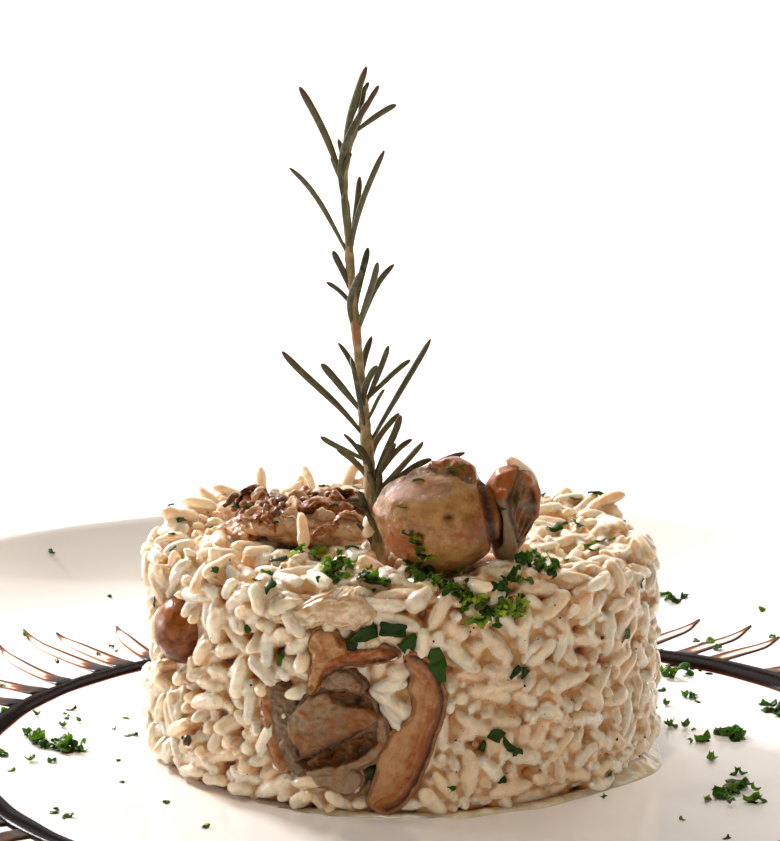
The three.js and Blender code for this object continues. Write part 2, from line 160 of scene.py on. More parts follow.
def slab_faces(rows, columns):
    """Triangles of a thin slab: a grid of points on top, the same again below, and the rim."""
    count = rows * columns
    edge = np.concatenate([
        np.arange(columns),
        np.arange(1, rows) * columns + columns - 1,
        count - 2 - np.arange(columns - 1),
        np.arange(rows - 2, 0, -1) * columns,
    ])
    after = np.roll(edge, -1)
    rim = [np.stack([edge, edge + count, after], -1), np.stack([after, edge + count, after + count], -1)]
    skin = grid_faces(rows, columns)
    return np.concatenate([skin, skin[:, ::-1] + count, *rim])


def ball_grid(rings, sides):
    """Along (-1 to 1) and turn (radians) of a ball's points, poles first and last, and its triangles."""
    along = -np.cos(np.pi * np.arange(1, rings) / rings)
    t = np.concatenate([[-1.0], np.repeat(along, sides), [1.0]])
    u = np.concatenate([[0.0], np.tile(turns(sides), rings - 1), [0.0]])
    return t, u, tube_faces(rings - 1, sides)


def joined(parts):
    """One point list and one triangle list from several (points, faces) pairs."""
    points, faces, start = [], [], 0
    for p, f in parts:
        points.append(p)
        faces.append(f + start)
        start += len(p)
    return np.concatenate(points), np.concatenate(faces)


def copies(points, faces):
    """Joins copies of one template: points is (copies, points of each, 3)."""
    count, size = points.shape[:2]
    return points.reshape(-1, 3), (faces[None] + size * np.arange(count)[:, None, None]).reshape(-1, 3)


def unit(v):
    return v / np.maximum(np.linalg.norm(v, axis=-1, keepdims=True), 1e-9)


def point_normals(points, faces):
    corners = points[faces]
    facing = np.cross(corners[:, 1] - corners[:, 0], corners[:, 2] - corners[:, 0])
    total = np.zeros_like(points)
    for k in range(3):
        for axis in range(3):
            total[:, axis] += np.bincount(faces[:, k], facing[:, axis], len(points))
    return unit(total)


def shares(**values):
    """Named numbers for the points of a mesh, each kept between 0 and 1."""
    return {key: np.clip(value, 0.0, 1.0) for key, value in values.items()}


def ray_target(points, faces):
    return BVHTree.FromPolygons(points.tolist(), faces.tolist())


def node_tree(node):
    """A ray target of a CAD node's solid, in mm."""
    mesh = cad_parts[node].data
    mesh.calc_loop_triangles()
    points = [v.co / MM for v in mesh.vertices]
    return BVHTree.FromPolygons(points, [t.vertices[:] for t in mesh.loop_triangles])


# ---------------------------------------------------------------- materials

class Look:
    """A node material round one Principled shader, with short helpers for its nodes."""

    def __init__(self, name, **sockets):
        self.material = bpy.data.materials.new(name)
        self.material.use_nodes = True
        self.tree = self.material.node_tree
        self.shader = self.tree.nodes["Principled BSDF"]
        self.coords = self.tree.nodes.new("ShaderNodeTexCoord").outputs["Object"]
        for socket, value in sockets.items():
            self.shader.inputs[socket.replace("_", " ")].default_value = value

    def node(self, kind, **inputs):
        made = self.tree.nodes.new("ShaderNode" + kind)
        for socket, value in inputs.items():
            self.feed(made.inputs[socket.replace("_", " ")], value)
        return made

    def feed(self, socket, value):
        if isinstance(value, bpy.types.NodeSocket):
            self.tree.links.new(value, socket)
        else:
            socket.default_value = value

    def noise(self, size, detail=4.0, roughness=0.6):
        """Noise with features of the given size in mm."""
        scale = 1.0 / (size * MM)
        made = self.node("TexNoise", Vector=self.coords, Scale=scale, Detail=detail, Roughness=roughness)
        return made.outputs["Fac"]

    def attribute(self, name):
        made = self.node("Attribute")
        made.attribute_name = name
        return made.outputs["Fac"]

    def ramp(self, value, *stops):
        """A colour ramp: stops are (position, colour)."""
        made = self.node("ValToRGB", Fac=value)
        elements = made.color_ramp.elements
        while len(elements) < len(stops):
            elements.new(0.5)
        for element, (position, colour) in zip(elements, stops):
            element.position = position
            element.color = colour
        return made.outputs["Color"]

    def mix(self, share, a, b, how="MIX"):
        made = self.node("Mix")
        made.data_type = "RGBA"
        made.blend_type = how
        for socket, value in zip((made.inputs[0], made.inputs[6], made.inputs[7]), (share, a, b)):
            self.feed(socket, value)
        return made.outputs[2]

    def math(self, how, a, b=0.5, clamp=False):
        made = self.node("Math")
        made.operation = how
        made.use_clamp = clamp
        self.feed(made.inputs[0], a)
        self.feed(made.inputs[1], b)
        return made.outputs[0]

    def span(self, value, low, high, to_low=0.0, to_high=1.0):
        made = self.node("MapRange", Value=value)
        limits = {"From Min": low, "From Max": high, "To Min": to_low, "To Max": to_high}
        for socket, number in limits.items():
            made.inputs[socket].default_value = number
        return made.outputs["Result"]

    def bump(self, height, depth, strength=1.0):
        """Relief of the given depth in mm."""
        made = self.node("Bump", Height=height, Distance=depth * MM, Strength=strength)
        self.feed(self.shader.inputs["Normal"], made.outputs["Normal"])

    def wet(self, weight, roughness, ior, size, depth):
        """A clear wet coat whose own fine ripples catch small glints."""
        self.shader.inputs["Coat Weight"].default_value = weight
        self.shader.inputs["Coat Roughness"].default_value = roughness
        self.shader.inputs["Coat IOR"].default_value = ior
        made = self.node("Bump", Height=self.noise(size, 3.0), Distance=depth * MM, Strength=1.0)
        self.feed(self.shader.inputs["Coat Normal"], made.outputs["Normal"])

    def set(self, socket, value):
        self.feed(self.shader.inputs[socket], value)


def srgb(red, green, blue):
    """A colour from 0-255 screen values, as Blender's linear RGBA."""
    screen = [c / 255.0 for c in (red, green, blue)]
    return (*(((c + 0.055) / 1.055) ** 2.4 if c > 0.04 else c / 12.92 for c in screen), 1.0)


def flesh(name, radius, weight, **sockets):
    """A look with light scattered under its surface: radius is the reach of red, green and blue in mm."""
    under = {"Subsurface_Weight": weight, "Subsurface_Radius": radius, "Subsurface_Scale": MM}
    return Look(name, IOR=1.4, **under, **sockets)


def rice_colour(look):
    """Cream with paler and darker grains, faintly mottled."""
    body = look.mix(look.attribute("tone"), srgb(242, 212, 171), srgb(255, 244, 221))
    body = look.mix(look.span(look.noise(1.4, 4.0), 0.42, 0.68, 0.0, 0.5), body, srgb(216, 168, 112))
    return look.mix(look.span(look.noise(0.7, 2.0), 0.55, 0.75, 0.0, 0.5), body, srgb(252, 246, 232))


def rice_look():
    look = flesh("rice", (1.7, 1.2, 0.75), 0.7)
    look.set("Base Color", rice_colour(look))
    look.set("Roughness", look.span(look.noise(1.2), 0.3, 0.7, 0.26, 0.46))
    look.bump(look.noise(0.7, 5.0, 0.65), 0.24, 0.9)
    look.wet(1.0, 0.07, 1.5, 0.9, 0.17)
    return look.material


def sauce_look():
    """The film over the rice: cream where thin, amber between grains (partly painted glow), painted shade in
    holes.
    """
    look = flesh("creamy_sauce", (1.7, 1.2, 0.75), 0.7)
    # Amber where the film lies thick between the grains: the sauce's colour, and partly a painted warm glow.
    body = look.mix(look.span(look.attribute("thick"), 0.05, 0.45), rice_colour(look), srgb(219, 171, 115))
    # Painted shade in the holes: brown, and near black where they are deepest.
    body = look.mix(look.span(look.attribute("pit"), 0.02, 0.3), body, srgb(196, 112, 34))
    body = look.mix(look.span(look.attribute("pit"), 0.3, 0.65), body, srgb(80, 32, 4))
    body = look.mix(look.span(look.noise(0.55, 1.0), 0.75, 0.77), body, srgb(96, 60, 34))
    look.set("Base Color", body)
    look.set("Roughness", look.span(look.noise(0.9), 0.35, 0.65, 0.24, 0.44))
    look.bump(look.noise(0.7, 5.0, 0.65), 0.26, 0.9)
    look.wet(1.0, 0.06, 1.55, 0.8, 0.2)
    return look.material


def plate_look():
    look = Look("glazed_ceramic")
    cloud = look.span(look.noise(60.0, 2.0), 0.4, 0.6)
    look.set("Base Color", look.mix(cloud, srgb(247, 244, 240), srgb(250, 248, 245)))
    look.set("Roughness", look.span(look.noise(14.0, 3.0), 0.3, 0.7, 0.07, 0.13))
    look.bump(look.noise(25.0, 2.0), 0.02, 0.3)
    return look.material


# ---------------------------------------------------------------- plate

def plate_profile():
    """[radius, height] pairs of half a section, from the foot's middle round to the well's middle."""
    p = PLATE
    inner = p["radius"] - 2.0 * p["lip"]
    steepest = math.atan(p["curve"] * p["rise"] / (inner - p["well"]))
    t = np.linspace(0.0, 1.0, 25)
    r = p["well"] + (inner - p["well"]) * t
    z = WELL_Z + p["rise"] * t ** p["curve"]
    wall = p["thickness"] + (2.0 * p["lip"] - p["thickness"]) * t
    under = np.stack([r + wall * np.sin(steepest * t), z - wall * np.cos(steepest * t)], -1)
    top = np.stack([r, z], -1)[::-1]
    bend = np.linspace(-0.42 * np.pi, 0.62 * np.pi, 9)
    edge_middle = (under[-1] + top[0]) / 2.0
    edge = edge_middle + p["lip"] * np.stack([np.cos(bend), np.sin(bend)], -1)
    edge[:, 0] = np.minimum(edge[:, 0], p["radius"])
    foot_in = p["foot_radius"] - p["foot_width"]
    foot = np.array([
        [0.0, p["foot_height"]],
        [foot_in - 2.0, p["foot_height"]],
        [foot_in - 0.6, p["foot_height"] - 0.5],
        [foot_in, 0.5],
        [foot_in + 0.6, 0.0],
        [p["foot_radius"] - 0.6, 0.0],
        [p["foot_radius"], 0.5],
        [p["foot_radius"] + 0.7, p["foot_height"] - 0.5],
        [p["foot_radius"] + 2.0, p["foot_height"]],
    ])
    return np.concatenate([foot, under, edge[1:-1], top, [[60.0, WELL_Z], [25.0, WELL_Z], [0.0, WELL_Z]]])


def lathe(profile, segments):
    """Points and triangles of a profile that starts and ends on the axis."""
    turn = turns(segments)
    r, z = profile[1:-1, 0], profile[1:-1, 1]
    x = r[:, None] * np.cos(turn)
    y = r[:, None] * np.sin(turn)
    rows = np.stack([x, y, np.broadcast_to(z[:, None], x.shape)], -1).reshape(-1, 3)
    points = np.concatenate([[[0.0, 0.0, profile[0, 1]]], rows, [[0.0, 0.0, profile[-1, 1]]]])
    return points, tube_faces(len(r), segments)


def make_plate():
    points, faces = lathe(plate_profile(), 192)
    piece("plate_china", points, faces, plate_look(), "plate_glaze", replaces=["plate"])


# ---------------------------------------------------------------- rice

def drum_wave(angle, height):
    """How far the drum's side stands out of a true cylinder."""
    return 0.35 * np.sin(7 * angle + 0.1 * height) + 0.35 * np.sin(4 * angle + 2.0 + 0.05 * height)


def drum_wall(points):
    """How far points stand out of the drum's surface (less than nought inside), and the way out there."""
    x, y = points[:, 0], points[:, 1]
    z = points[:, 2] - WELL_Z
    r = np.hypot(x, y)
    angle = np.arctan2(y, x)
    radius = DRUM["radius"] + drum_wave(angle, z)
    height = DRUM["height"] - DRUM["dish"] * (1.0 - np.clip(r / DRUM["radius"], 0, 1))
    edge = np.where(z > height / 2.0, DRUM["top_edge"], DRUM["foot_edge"])
    qr = r - (radius - edge)
    qz = np.abs(z - height / 2.0) - (height / 2.0 - edge)
    sign = np.where(z > height / 2.0, 1.0, -1.0)
    ar, az = np.maximum(qr, 0.0), np.maximum(qz, 0.0)
    outside = np.hypot(ar, az)
    distance = outside + np.minimum(np.maximum(qr, qz), 0.0) - edge
    side_wins = qr > qz
    nr = np.where(outside > 1e-6, ar / np.maximum(outside, 1e-6), side_wins * 1.0)
    nz = np.where(outside > 1e-6, az / np.maximum(outside, 1e-6), (~side_wins) * 1.0) * sign
    normal = np.stack([nr * x / np.maximum(r, 1e-6), nr * y / np.maximum(r, 1e-6), nz], -1)
    return distance, normal


class Room:
    """The space that the mushrooms leave to the rice: the reach of the side and of the top, by place."""

    COLUMNS, ROWS, SQUARE, CELL, HALF = 360, 90, 200, 0.5, 50.0
    START = 25.0  # where the rays start, from the axis and from the plate
    FAR = 60.0  # the reach where no mushroom is in the way
    SIDE = ("mushroom_button", "mushroom_chunk", "mushroom_crescent", "mushroom_fold")
    TOP = (
        "mushroom_whole", "mushroom_half_cap", "mushroom_slice_back",
        "mushroom_slice_left", "mushroom_slice_middle",
    )

    def __init__(self):
        self.side = np.full((self.COLUMNS, self.ROWS), self.FAR)
        for tree in (node_tree(n) for n in self.SIDE):
            for i in range(self.COLUMNS):
                a = 2 * math.pi * i / self.COLUMNS
                way = Vector((math.cos(a), math.sin(a), 0.0))
                for j in range(self.ROWS):
                    start = Vector((0, 0, WELL_Z + j * self.CELL)) + self.START * way
                    self.side[i, j] = min(self.side[i, j], self.reach(tree, start, way))
        self.side = self.widened(self.side, 1)
        self.top = np.full((self.SQUARE, self.SQUARE), self.FAR)
        for tree in (node_tree(n) for n in self.TOP):
            for i in range(self.SQUARE):
                for j in range(self.SQUARE):
                    x, y = i * self.CELL - self.HALF, j * self.CELL - self.HALF
                    start = Vector((x, y, WELL_Z + self.START))
                    self.top[i, j] = min(self.top[i, j], self.reach(tree, start, Vector((0, 0, 1))))
        self.top = self.widened(self.top, 1)

    def reach(self, tree, start, way):
        """How far from the axis, or from the plate, a ray meets the mushroom."""
        place, _, _, distance = tree.ray_cast(start, way)
        return self.FAR if place is None else distance + self.START

    @staticmethod
    def widened(field, reach):
        """Each cell takes the least value of the cells within reach."""
        out = field.copy()
        for dx in range(-reach, reach + 1):
            for dy in range(-reach, reach + 1):
                if dx * dx + dy * dy <= reach * reach:
                    out = np.minimum(out, np.roll(field, (dx, dy), (0, 1)))
        return out

    def push(self, points, radii):
        """Moves that take balls out of the mushrooms."""
        x, y, z = points.T
        r = np.hypot(x, y)
        column = np.round(np.arctan2(y, x) / (2 * np.pi) * self.COLUMNS).astype(int) % self.COLUMNS
        row = np.clip(np.round((z - WELL_Z) / self.CELL), 0, self.ROWS - 1).astype(int)
        over = np.maximum(r + radii - self.side[column, row], 0.0)
        over = np.where(r > self.START, over, 0.0)
        move = -over[:, None] * np.stack([x, y, 0 * z], -1) / np.maximum(r, 1e-6)[:, None]
        i = np.clip(np.round((x + self.HALF) / self.CELL), 0, self.SQUARE - 1).astype(int)
        j = np.clip(np.round((y + self.HALF) / self.CELL), 0, self.SQUARE - 1).astype(int)
        high = np.maximum(z - WELL_Z + radii - self.top[i, j], 0.0)
        move[:, 2] -= np.where(z - WELL_Z > self.START, high, 0.0)
        return move


def stem_push(points, radii):
    """Moves that keep balls off the rosemary's stem."""
    x, y = points[:, 0] - SPRIG_FOOT[0], points[:, 1] - SPRIG_FOOT[1]
    r = np.maximum(np.hypot(x, y), 1e-6)
    near = points[:, 2] > SPRIG_TOP_Z - STEM["depth"] - 2.0
    over = np.where(near, np.maximum(radii + 1.7 - r, 0.0), 0.0)
    return np.stack([x / r * over, y / r * over, 0 * r], -1)


BEADS = np.array([-1.0, -1.0 / 3.0, 1.0 / 3.0, 1.0])
SETTLE = {"steps": 150, "search_every": 14, "search_reach": 4.6, "gain": 1.1, "wall": 1.3, "pull": 0.012}


def close_pairs(beads, owner, reach):
    """Pairs of beads of different grains that lie within reach."""
    rows = []
    square = (beads**2).sum(1)
    block = 700
    for start in range(0, len(beads), block):
        part = beads[start : start + block]
        gap = square[start : start + block, None] + square[None] - 2.0 * part @ beads.T
        i, j = np.nonzero(gap < reach * reach)
        i += start
        keep = (i < j) & (owner[i] != owner[j])
        rows.append(np.stack([i[keep], j[keep]]))
    return np.concatenate(rows, 1)


def settle(centre, axis, half, radius, stand, fixed, room):
    """Pushes the grains apart, into the drum's shell and out of the mushrooms, as stiff rows of beads."""
    count = len(centre)
    owner = np.repeat(np.arange(count), len(BEADS))
    bead_radius = np.repeat(radius, len(BEADS))
    bead_stand = np.repeat(stand, len(BEADS))
    free = (~fixed).astype(float)[:, None]
    span = half[:, None, None] * BEADS[None, :, None]
    for step in range(SETTLE["steps"]):
        beads = (centre[:, None] + axis[:, None] * span).reshape(-1, 3)
        if step % SETTLE["search_every"] == 0:
            first, second = close_pairs(beads.astype(np.float32), owner, SETTLE["search_reach"])
            reach = (bead_radius[first] + bead_radius[second]) * GRAIN["squeeze"]
        apart = beads[first] - beads[second]
        distance = np.maximum(np.linalg.norm(apart, axis=1), 1e-6)
        over = np.maximum(reach - distance, 0.0)
        shove = apart / distance[:, None] * (0.5 * over)[:, None]
        move = np.stack([
            np.bincount(first, shove[:, k], len(beads)) - np.bincount(second, shove[:, k], len(beads))
            for k in range(3)
        ], -1)
        inside, normal = drum_wall(beads)
        out = np.maximum(inside + bead_radius - bead_stand, 0.0)
        deep = np.maximum(-inside - (DRUM["shell"] - bead_radius), 0.0)
        move += normal * (deep - SETTLE["wall"] * out + SETTLE["pull"])[:, None]
        move += room.push(beads, bead_radius) + stem_push(beads, bead_radius)
        move[:, 2] -= SETTLE["pull"]
        move = move.reshape(count, -1, 3)
        centre = centre + free * SETTLE["gain"] * move.mean(1)
        torque = np.cross(axis[:, None] * span, move).sum(1)
        inertia = 2.0 * (half**2)[:, None] * (1.0 + 1.0 / 9.0)
        axis = unit(axis + free * SETTLE["gain"] * np.cross(torque / inertia, axis))
    return centre, axis


def first_places(random, count):
    """Places spread evenly through the drum's shell, drawn in batches from a box round the drum."""
    half_box, middle, batch = [48, 48, 22], [0, 0, WELL_Z + 21], 4000
    outer, inner = -1.7, 1.5 - DRUM["shell"]
    found = []
    while len(found) < count:
        places = random.uniform(-1, 1, (batch, 3)) * half_box + middle
        inside, _ = drum_wall(places)
        found.extend(places[(inside < outer) & (inside > inner)])
    return np.array(found[:count])


def side_point(angle, height, radius):
    a = np.radians(angle)
    return np.stack([radius * np.cos(a), radius * np.sin(a), WELL_Z + height + 0 * a], -1)


# Grains that are told apart in the side: [degrees from +X, height, slant of the long axis, depth].
SIDE_GRAINS = [
    [-121.5, 24.4, -36, 1.6],
    [-92.5, 20.6, -38, 1.7],
    [-91.6, 17.2, -52, 1.7],
    [-92.6, 23.6, 10, 1.7],
    [-120.6, 28.3, 88, 1.7],
    [-125.5, 18.2, 84, 1.7],
    [-66.6, 33.6, -60, 1.3],
    [-37.8, 28.2, 86, 1.5],
    [-96.0, 29.5, -12, 1.5],
]

# Grains laid on the top's edge, some standing up at the back: [x, y, height, heading, rise].
TOP_GRAINS = [
    [-36.0, 21.0, 41.6, 150, 34],
    [-27.0, 34.0, 41.8, 100, 58],
    [-33.0, 28.0, 41.4, 170, 20],
    [-18.0, 40.0, 41.4, 120, 50],
    [-10.0, 42.0, 41.2, 60, 44],
    [-41.0, 6.0, 42.0, 200, 12],
    [-38.0, 14.0, 42.4, 165, 8],
    [13.0, -42.5, 40.6, -62, 4],
    [8.0, 41.0, 41.4, 30, 26],
    [24.0, 35.0, 41.6, 70, 38],
    [38.0, 17.0, 41.6, 20, 26],
    [-17.6, -20.6, 45.2, 104, 70],
    [-5.6, -20.4, 46.4, 68, 56],
    [21.4, -26.6, 57.2, 10, -42],
]


def looseness(points):
    """From 0 at the right front, where sauce has run over the rice, to 1 at the left and the back."""
    angle = np.arctan2(points[..., 1], points[..., 0])
    return 1.0 - smooth_step(-0.25, 0.85, np.cos(angle - math.radians(-38.0)))


def make_grains(random, room):
    """Centres, directions, lengths and widths of all grains, those listed first."""
    count = GRAIN["count"]
    length = random.uniform(*GRAIN["length"], count)
    width = random.uniform(*GRAIN["width"], count)
    centre = first_places(random, count)
    axis = unit(random.normal(size=(count, 3)))
    _, normal = drum_wall(centre)
    axis = unit(axis - 0.5 * (axis * normal).sum(1, keepdims=True) * normal)
    for k, (angle, height, slant, depth) in enumerate(SIDE_GRAINS):
        centre[k] = side_point(angle, height, DRUM["radius"] - depth)
        a, s = math.radians(angle), math.radians(slant)
        axis[k] = (-math.sin(a) * math.cos(s), math.cos(a) * math.cos(s), math.sin(s))
    for k, (x, y, height, turn, rise) in enumerate(TOP_GRAINS, len(SIDE_GRAINS)):
        h, s = math.radians(turn), math.radians(rise)
        centre[k] = (x, y, WELL_Z + height)
        axis[k] = (math.cos(h) * math.cos(s), math.sin(h) * math.cos(s), math.sin(s))
    fixed = np.arange(count) < len(SIDE_GRAINS) + len(TOP_GRAINS)
    half = (length - width) / 2.0
    loose = np.where(centre[:, 2] > WELL_Z + 38.0, 1.4, 0.5 + 0.6 * looseness(centre))
    stand = loose * random.uniform(-1.5, 0.8, count)
    centre, axis = settle(centre, axis, half, width / 2.0, stand, fixed, room)
    return centre, axis, length, width


def grain_bodies(random, centre, axis, length, width, rings, sides):
    """Plump, slightly bent grains with blunt, uneven ends."""
    t, u, faces = ball_grid(rings, sides)
    count = len(centre)
    _, out = drum_wall(centre)
    side = unit(np.cross(axis, out + 0.35 * random.normal(size=(count, 3))))
    face = np.cross(axis, side)
    blunt = random.uniform(2.3, 3.8, (count, 1))
    taper = random.uniform(-0.16, 0.16, (count, 1))
    bend = random.uniform(-0.07, 0.07, (count, 2)) * length[:, None]
    phase = random.uniform(0, 6.28, (count, 2))
    swell = np.sqrt(np.maximum(1.0 - np.abs(t[None]) ** blunt, 0.0)) * (1.0 + taper * t[None])
    swell = swell * (1.0 + 0.05 * np.sin(2 * u[None] + 2.0 * t[None] + phase[:, :1]))
    swell = swell * (1.0 + 0.05 * np.sin(4.2 * t[None] + phase[:, 1:]))
    bow = t[None] ** 2 - 0.4
    across = swell * np.cos(u[None]) * width[:, None] / 2.0 + bend[:, :1] * bow
    away = swell * np.sin(u[None]) * GRAIN["flat"] * width[:, None] / 2.0 + bend[:, 1:] * bow
    points = (
        centre[:, None]
        + axis[:, None] * (t[None] * length[:, None] / 2.0)[..., None]
        + side[:, None] * across[..., None]
        + face[:, None] * away[..., None]
    )
    dents = 0.44 * rough(points, 2.0, 3, seed=31)
    return points + dents[..., None] * unit(points - centre[:, None]), faces


HIDDEN = 4.2  # grains whose centres lie deeper than this show little, and are plainer


def make_rice(room):
    """The grains as two pieces; returns their mesh and the tone of each of its triangles."""
    random = np.random.default_rng(7)
    centre, axis, length, width = make_grains(random, room)
    depth, _ = drum_wall(centre)
    outer = depth > -HIDDEN
    tone = random.uniform(0.0, 1.0, len(centre))
    look = rice_look()
    top = centre[:, 2] > WELL_Z + DRUM["height"] - 7.0
    meshes, face_tones = [], []
    for name, region in (("rice_on_top", top), ("rice_round_the_side", ~top)):
        parts, tones = [], []
        for chosen, rings, sides in ((outer & region, 9, 8), (~outer & region, 5, 6)):
            points, faces = grain_bodies(
                random, centre[chosen], axis[chosen], length[chosen], width[chosen], rings, sides
            )
            parts.append(copies(points, faces))
            tones.append(np.repeat(tone[chosen], points.shape[1]))
            face_tones.append(np.repeat(tone[chosen], len(faces)))
        points, faces = joined(parts)
        piece(name, points, faces, look, "rice", ["risotto"], {"tone": np.concatenate(tones)})
        meshes.append((points, faces))
    return *joined(meshes), np.concatenate(face_tones)


# ---------------------------------------------------------------- sauce

SAUCE = {
    "step": 0.37, "side_columns": 800, "top_columns": 700,
    "soften": 0.2, "fillet": 0.3, "melt": 0.5, "level": 1.3, "broad": 3.5,  # reaches of the blurs
}


def drum_section(first, last):
    """Points and outward directions along half the drum's section, between two distances from its foot."""
    r, h, edge = DRUM["radius"], DRUM["height"], DRUM["top_edge"]
    side, arc = h - edge, edge * np.pi / 2
    along = np.arange(first, last, SAUCE["step"])
    turn = np.clip((along - side) / edge, 0.0, np.pi / 2)
    inward = np.maximum(along - side - arc, 0.0)
    flat = r - edge - inward
    section = np.stack([
        np.where(inward > 0, flat, r - edge + edge * np.cos(turn)),
        np.where(along < side, along, h - edge + edge * np.sin(turn)) - DRUM["dish"] * np.where(
            turn > 0, 1.0 - np.clip(flat / r, 0, 1), 0.0) * smooth_step(0.0, 4.0, inward),
    ], -1)
    return section, np.stack([np.cos(turn), np.sin(turn)], -1)


def blurred(field, section, reach):
    """A Gaussian blur of a (column, row) field over the drum's skin, with the reach in mm."""
    columns = len(field)
    along = np.concatenate([[0.0], np.cumsum(np.hypot(*np.diff(section, axis=0).T))])
    weight = np.exp(-((along[:, None] - along[None]) ** 2) / (2 * reach**2))
    field = field @ (weight / weight.sum(0, keepdims=True))
    wave = np.fft.rfftfreq(columns, 1.0 / columns)
    spread = reach / np.maximum(section[:, 0], 0.5)
    gain = np.exp(-0.5 * (wave[:, None] * spread[None]) ** 2)
    return np.fft.irfft(np.fft.rfft(field, axis=0) * gain, columns, axis=0)


def rice_height(tree, tones, section, out, angle):
    """How far the rice stands out of the drum's section and the grain's tone there, by (column, row)."""
    start, lowest = 5.0, -4.0
    height = np.full((len(angle), len(section)), lowest)
    tone = np.full(height.shape, 0.5)
    for i, a in enumerate(angle):
        c, s = math.cos(a), math.sin(a)
        for j, ((r, z), (nr, nz)) in enumerate(zip(section.tolist(), out.tolist())):
            way = Vector((-nr * c, -nr * s, -nz))
            place, _, face, distance = tree.ray_cast(
                Vector((r * c, r * s, WELL_Z + z)) - start * way, way, start - lowest
            )
            if place is not None:
                height[i, j] = start - distance
                tone[i, j] = tones[face]
    return height, tone


def sauce_skin(tree, tones, columns, first, last):
    """The creamy film that fuses the grains over part of the drum, with fillets between them and holes."""
    section, out = drum_section(first, last)
    angle = turns(columns)
    height, tone = rice_height(tree, tones, section, out, angle)
    level = blurred(height, section, SAUCE["level"])
    broad = blurred(height, section, SAUCE["broad"])
    place = np.stack([
        np.outer(np.cos(angle), section[:, 0]),
        np.outer(np.sin(angle), section[:, 0]),
        np.broadcast_to(section[:, 1], height.shape),
    ], -1)
    wet = 1.0 - looseness(place)
    wet = np.clip(wet + 0.3 * rough(place, 9.0, 2, seed=3) * smooth_step(0.02, 0.3, wet), 0.0, 1.0)
    dry = 1.0 - wet
    gap = smooth_step(0.2, 0.9, level - height)
    hole = smooth_step(-0.08, 0.2, rough(place, 2.0, 2, seed=23) + 0.25 * dry) * gap
    pool = level - 0.75 - 0.85 * dry - (1.8 + 0.2 * dry) * hole
    close = blurred(height, section, SAUCE["fillet"])
    skin = np.minimum(np.maximum(pool, np.maximum(close - 0.05, height + 0.04)), broad + 1.5)
    melted = blurred(skin, section, SAUCE["melt"]) + 0.28 + 0.2 * rough(place, 2.4, 2, seed=14)
    skin = blurred(skin, section, SAUCE["soften"])
    ripple = (0.06 + 0.12 * wet) * rough(place, 1.1, 3, seed=9)
    skin = skin + (melted - skin) * 0.85 * wet * (1.0 - hole) + ripple
    # Where the film lies thick in the gaps; the sauce's look turns it amber, partly as a painted warm glow.
    thick = np.clip((skin - height) / 0.9, 0.0, 1.0) * smooth_step(0.0, 0.7, level - height)
    thick = blurred(thick, section, SAUCE["soften"])
    # How deep the holes lie under the broad surface, for painted shade in them.
    pit = np.clip((broad - skin - 1.0) / 1.5, 0.0, 1.0) * smooth_step(0.0, 0.4, level - skin)
    r = section[None, :, 0] + out[None, :, 0] * skin
    z = np.maximum(section[None, :, 1] + out[None, :, 1] * skin, 0.02)
    points = np.stack([r * np.cos(angle)[:, None], r * np.sin(angle)[:, None], WELL_Z + z], -1)
    return points.transpose(1, 0, 2), {"pit": pit.T, "thick": thick.T, "tone": tone.T}


def make_sauce(rice_points, rice_faces, tones):
    """The skin in two pieces that overlap at the shoulder: round the side, and over the top."""
    tree = ray_target(rice_points, rice_faces)
    look = sauce_look()
    edge = DRUM["top_edge"]
    shoulder = DRUM["height"] - edge + 3.0
    end = DRUM["height"] - edge + edge * np.pi / 2 + DRUM["radius"] - edge
    meshes = []
    for name, columns, first, last in (
        ("sauce_round_the_side", SAUCE["side_columns"], 0.15, shoulder + 0.6),
        ("sauce_on_top", SAUCE["top_columns"], shoulder, end - 0.8),
    ):
        rows, values = sauce_skin(tree, tones, columns, first, last)
        points = rows.reshape(-1, 3)
        faces = grid_faces(len(rows), columns, wrap=True)
        if name == "sauce_on_top":
            k = np.arange(columns)
            base = (len(rows) - 1) * columns
            cap = np.stack([base + k, base + (k + 1) % columns, np.full(columns, len(points))], -1)
            points = np.concatenate([points, rows[-1].mean(0)[None]])
            faces = np.concatenate([faces, cap])
            values = {key: np.append(value, 0.5) for key, value in values.items()}
        piece(name, points, faces, look, "rice", ["risotto"], values)
        meshes.append((points, faces))
    return joined(meshes)


# ---------------------------------------------------------------- mushrooms

def evened(node, cell, rounds):
    """A CAD node's solid with small even faces and its facets smoothed away: points in mm and triangles."""
    scratch = bpy.data.objects.new("scratch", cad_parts[node].data.copy())
    bpy.context.scene.collection.objects.link(scratch)
    remesh = scratch.modifiers.new("remesh", "REMESH")
    remesh.mode = "VOXEL"
    remesh.voxel_size = cell * MM
    soften = scratch.modifiers.new("soften", "SMOOTH")
    soften.factor = 0.5
    soften.iterations = rounds
    graph = bpy.context.evaluated_depsgraph_get()
    mesh = bpy.data.meshes.new_from_object(scratch.evaluated_get(graph))
    mesh.calc_loop_triangles()
    points = np.empty(len(mesh.vertices) * 3, np.float32)
    mesh.vertices.foreach_get("co", points)
    faces = np.empty(len(mesh.loop_triangles) * 3, np.int32)
    mesh.loop_triangles.foreach_get("vertices", faces)
    bpy.data.objects.remove(scratch)
    return points.reshape(-1, 3).astype(float) / MM, faces.reshape(-1, 3)


def bell(x, width):
    return np.exp(-((x / width) ** 2))


def crumpled(points, size, seed):
    """Ridges like those of crumpled skin, from -1 in the creases to 1 on the folds."""
    return 1.0 - 2.6 * np.abs(rough(points, size, 2, seed))


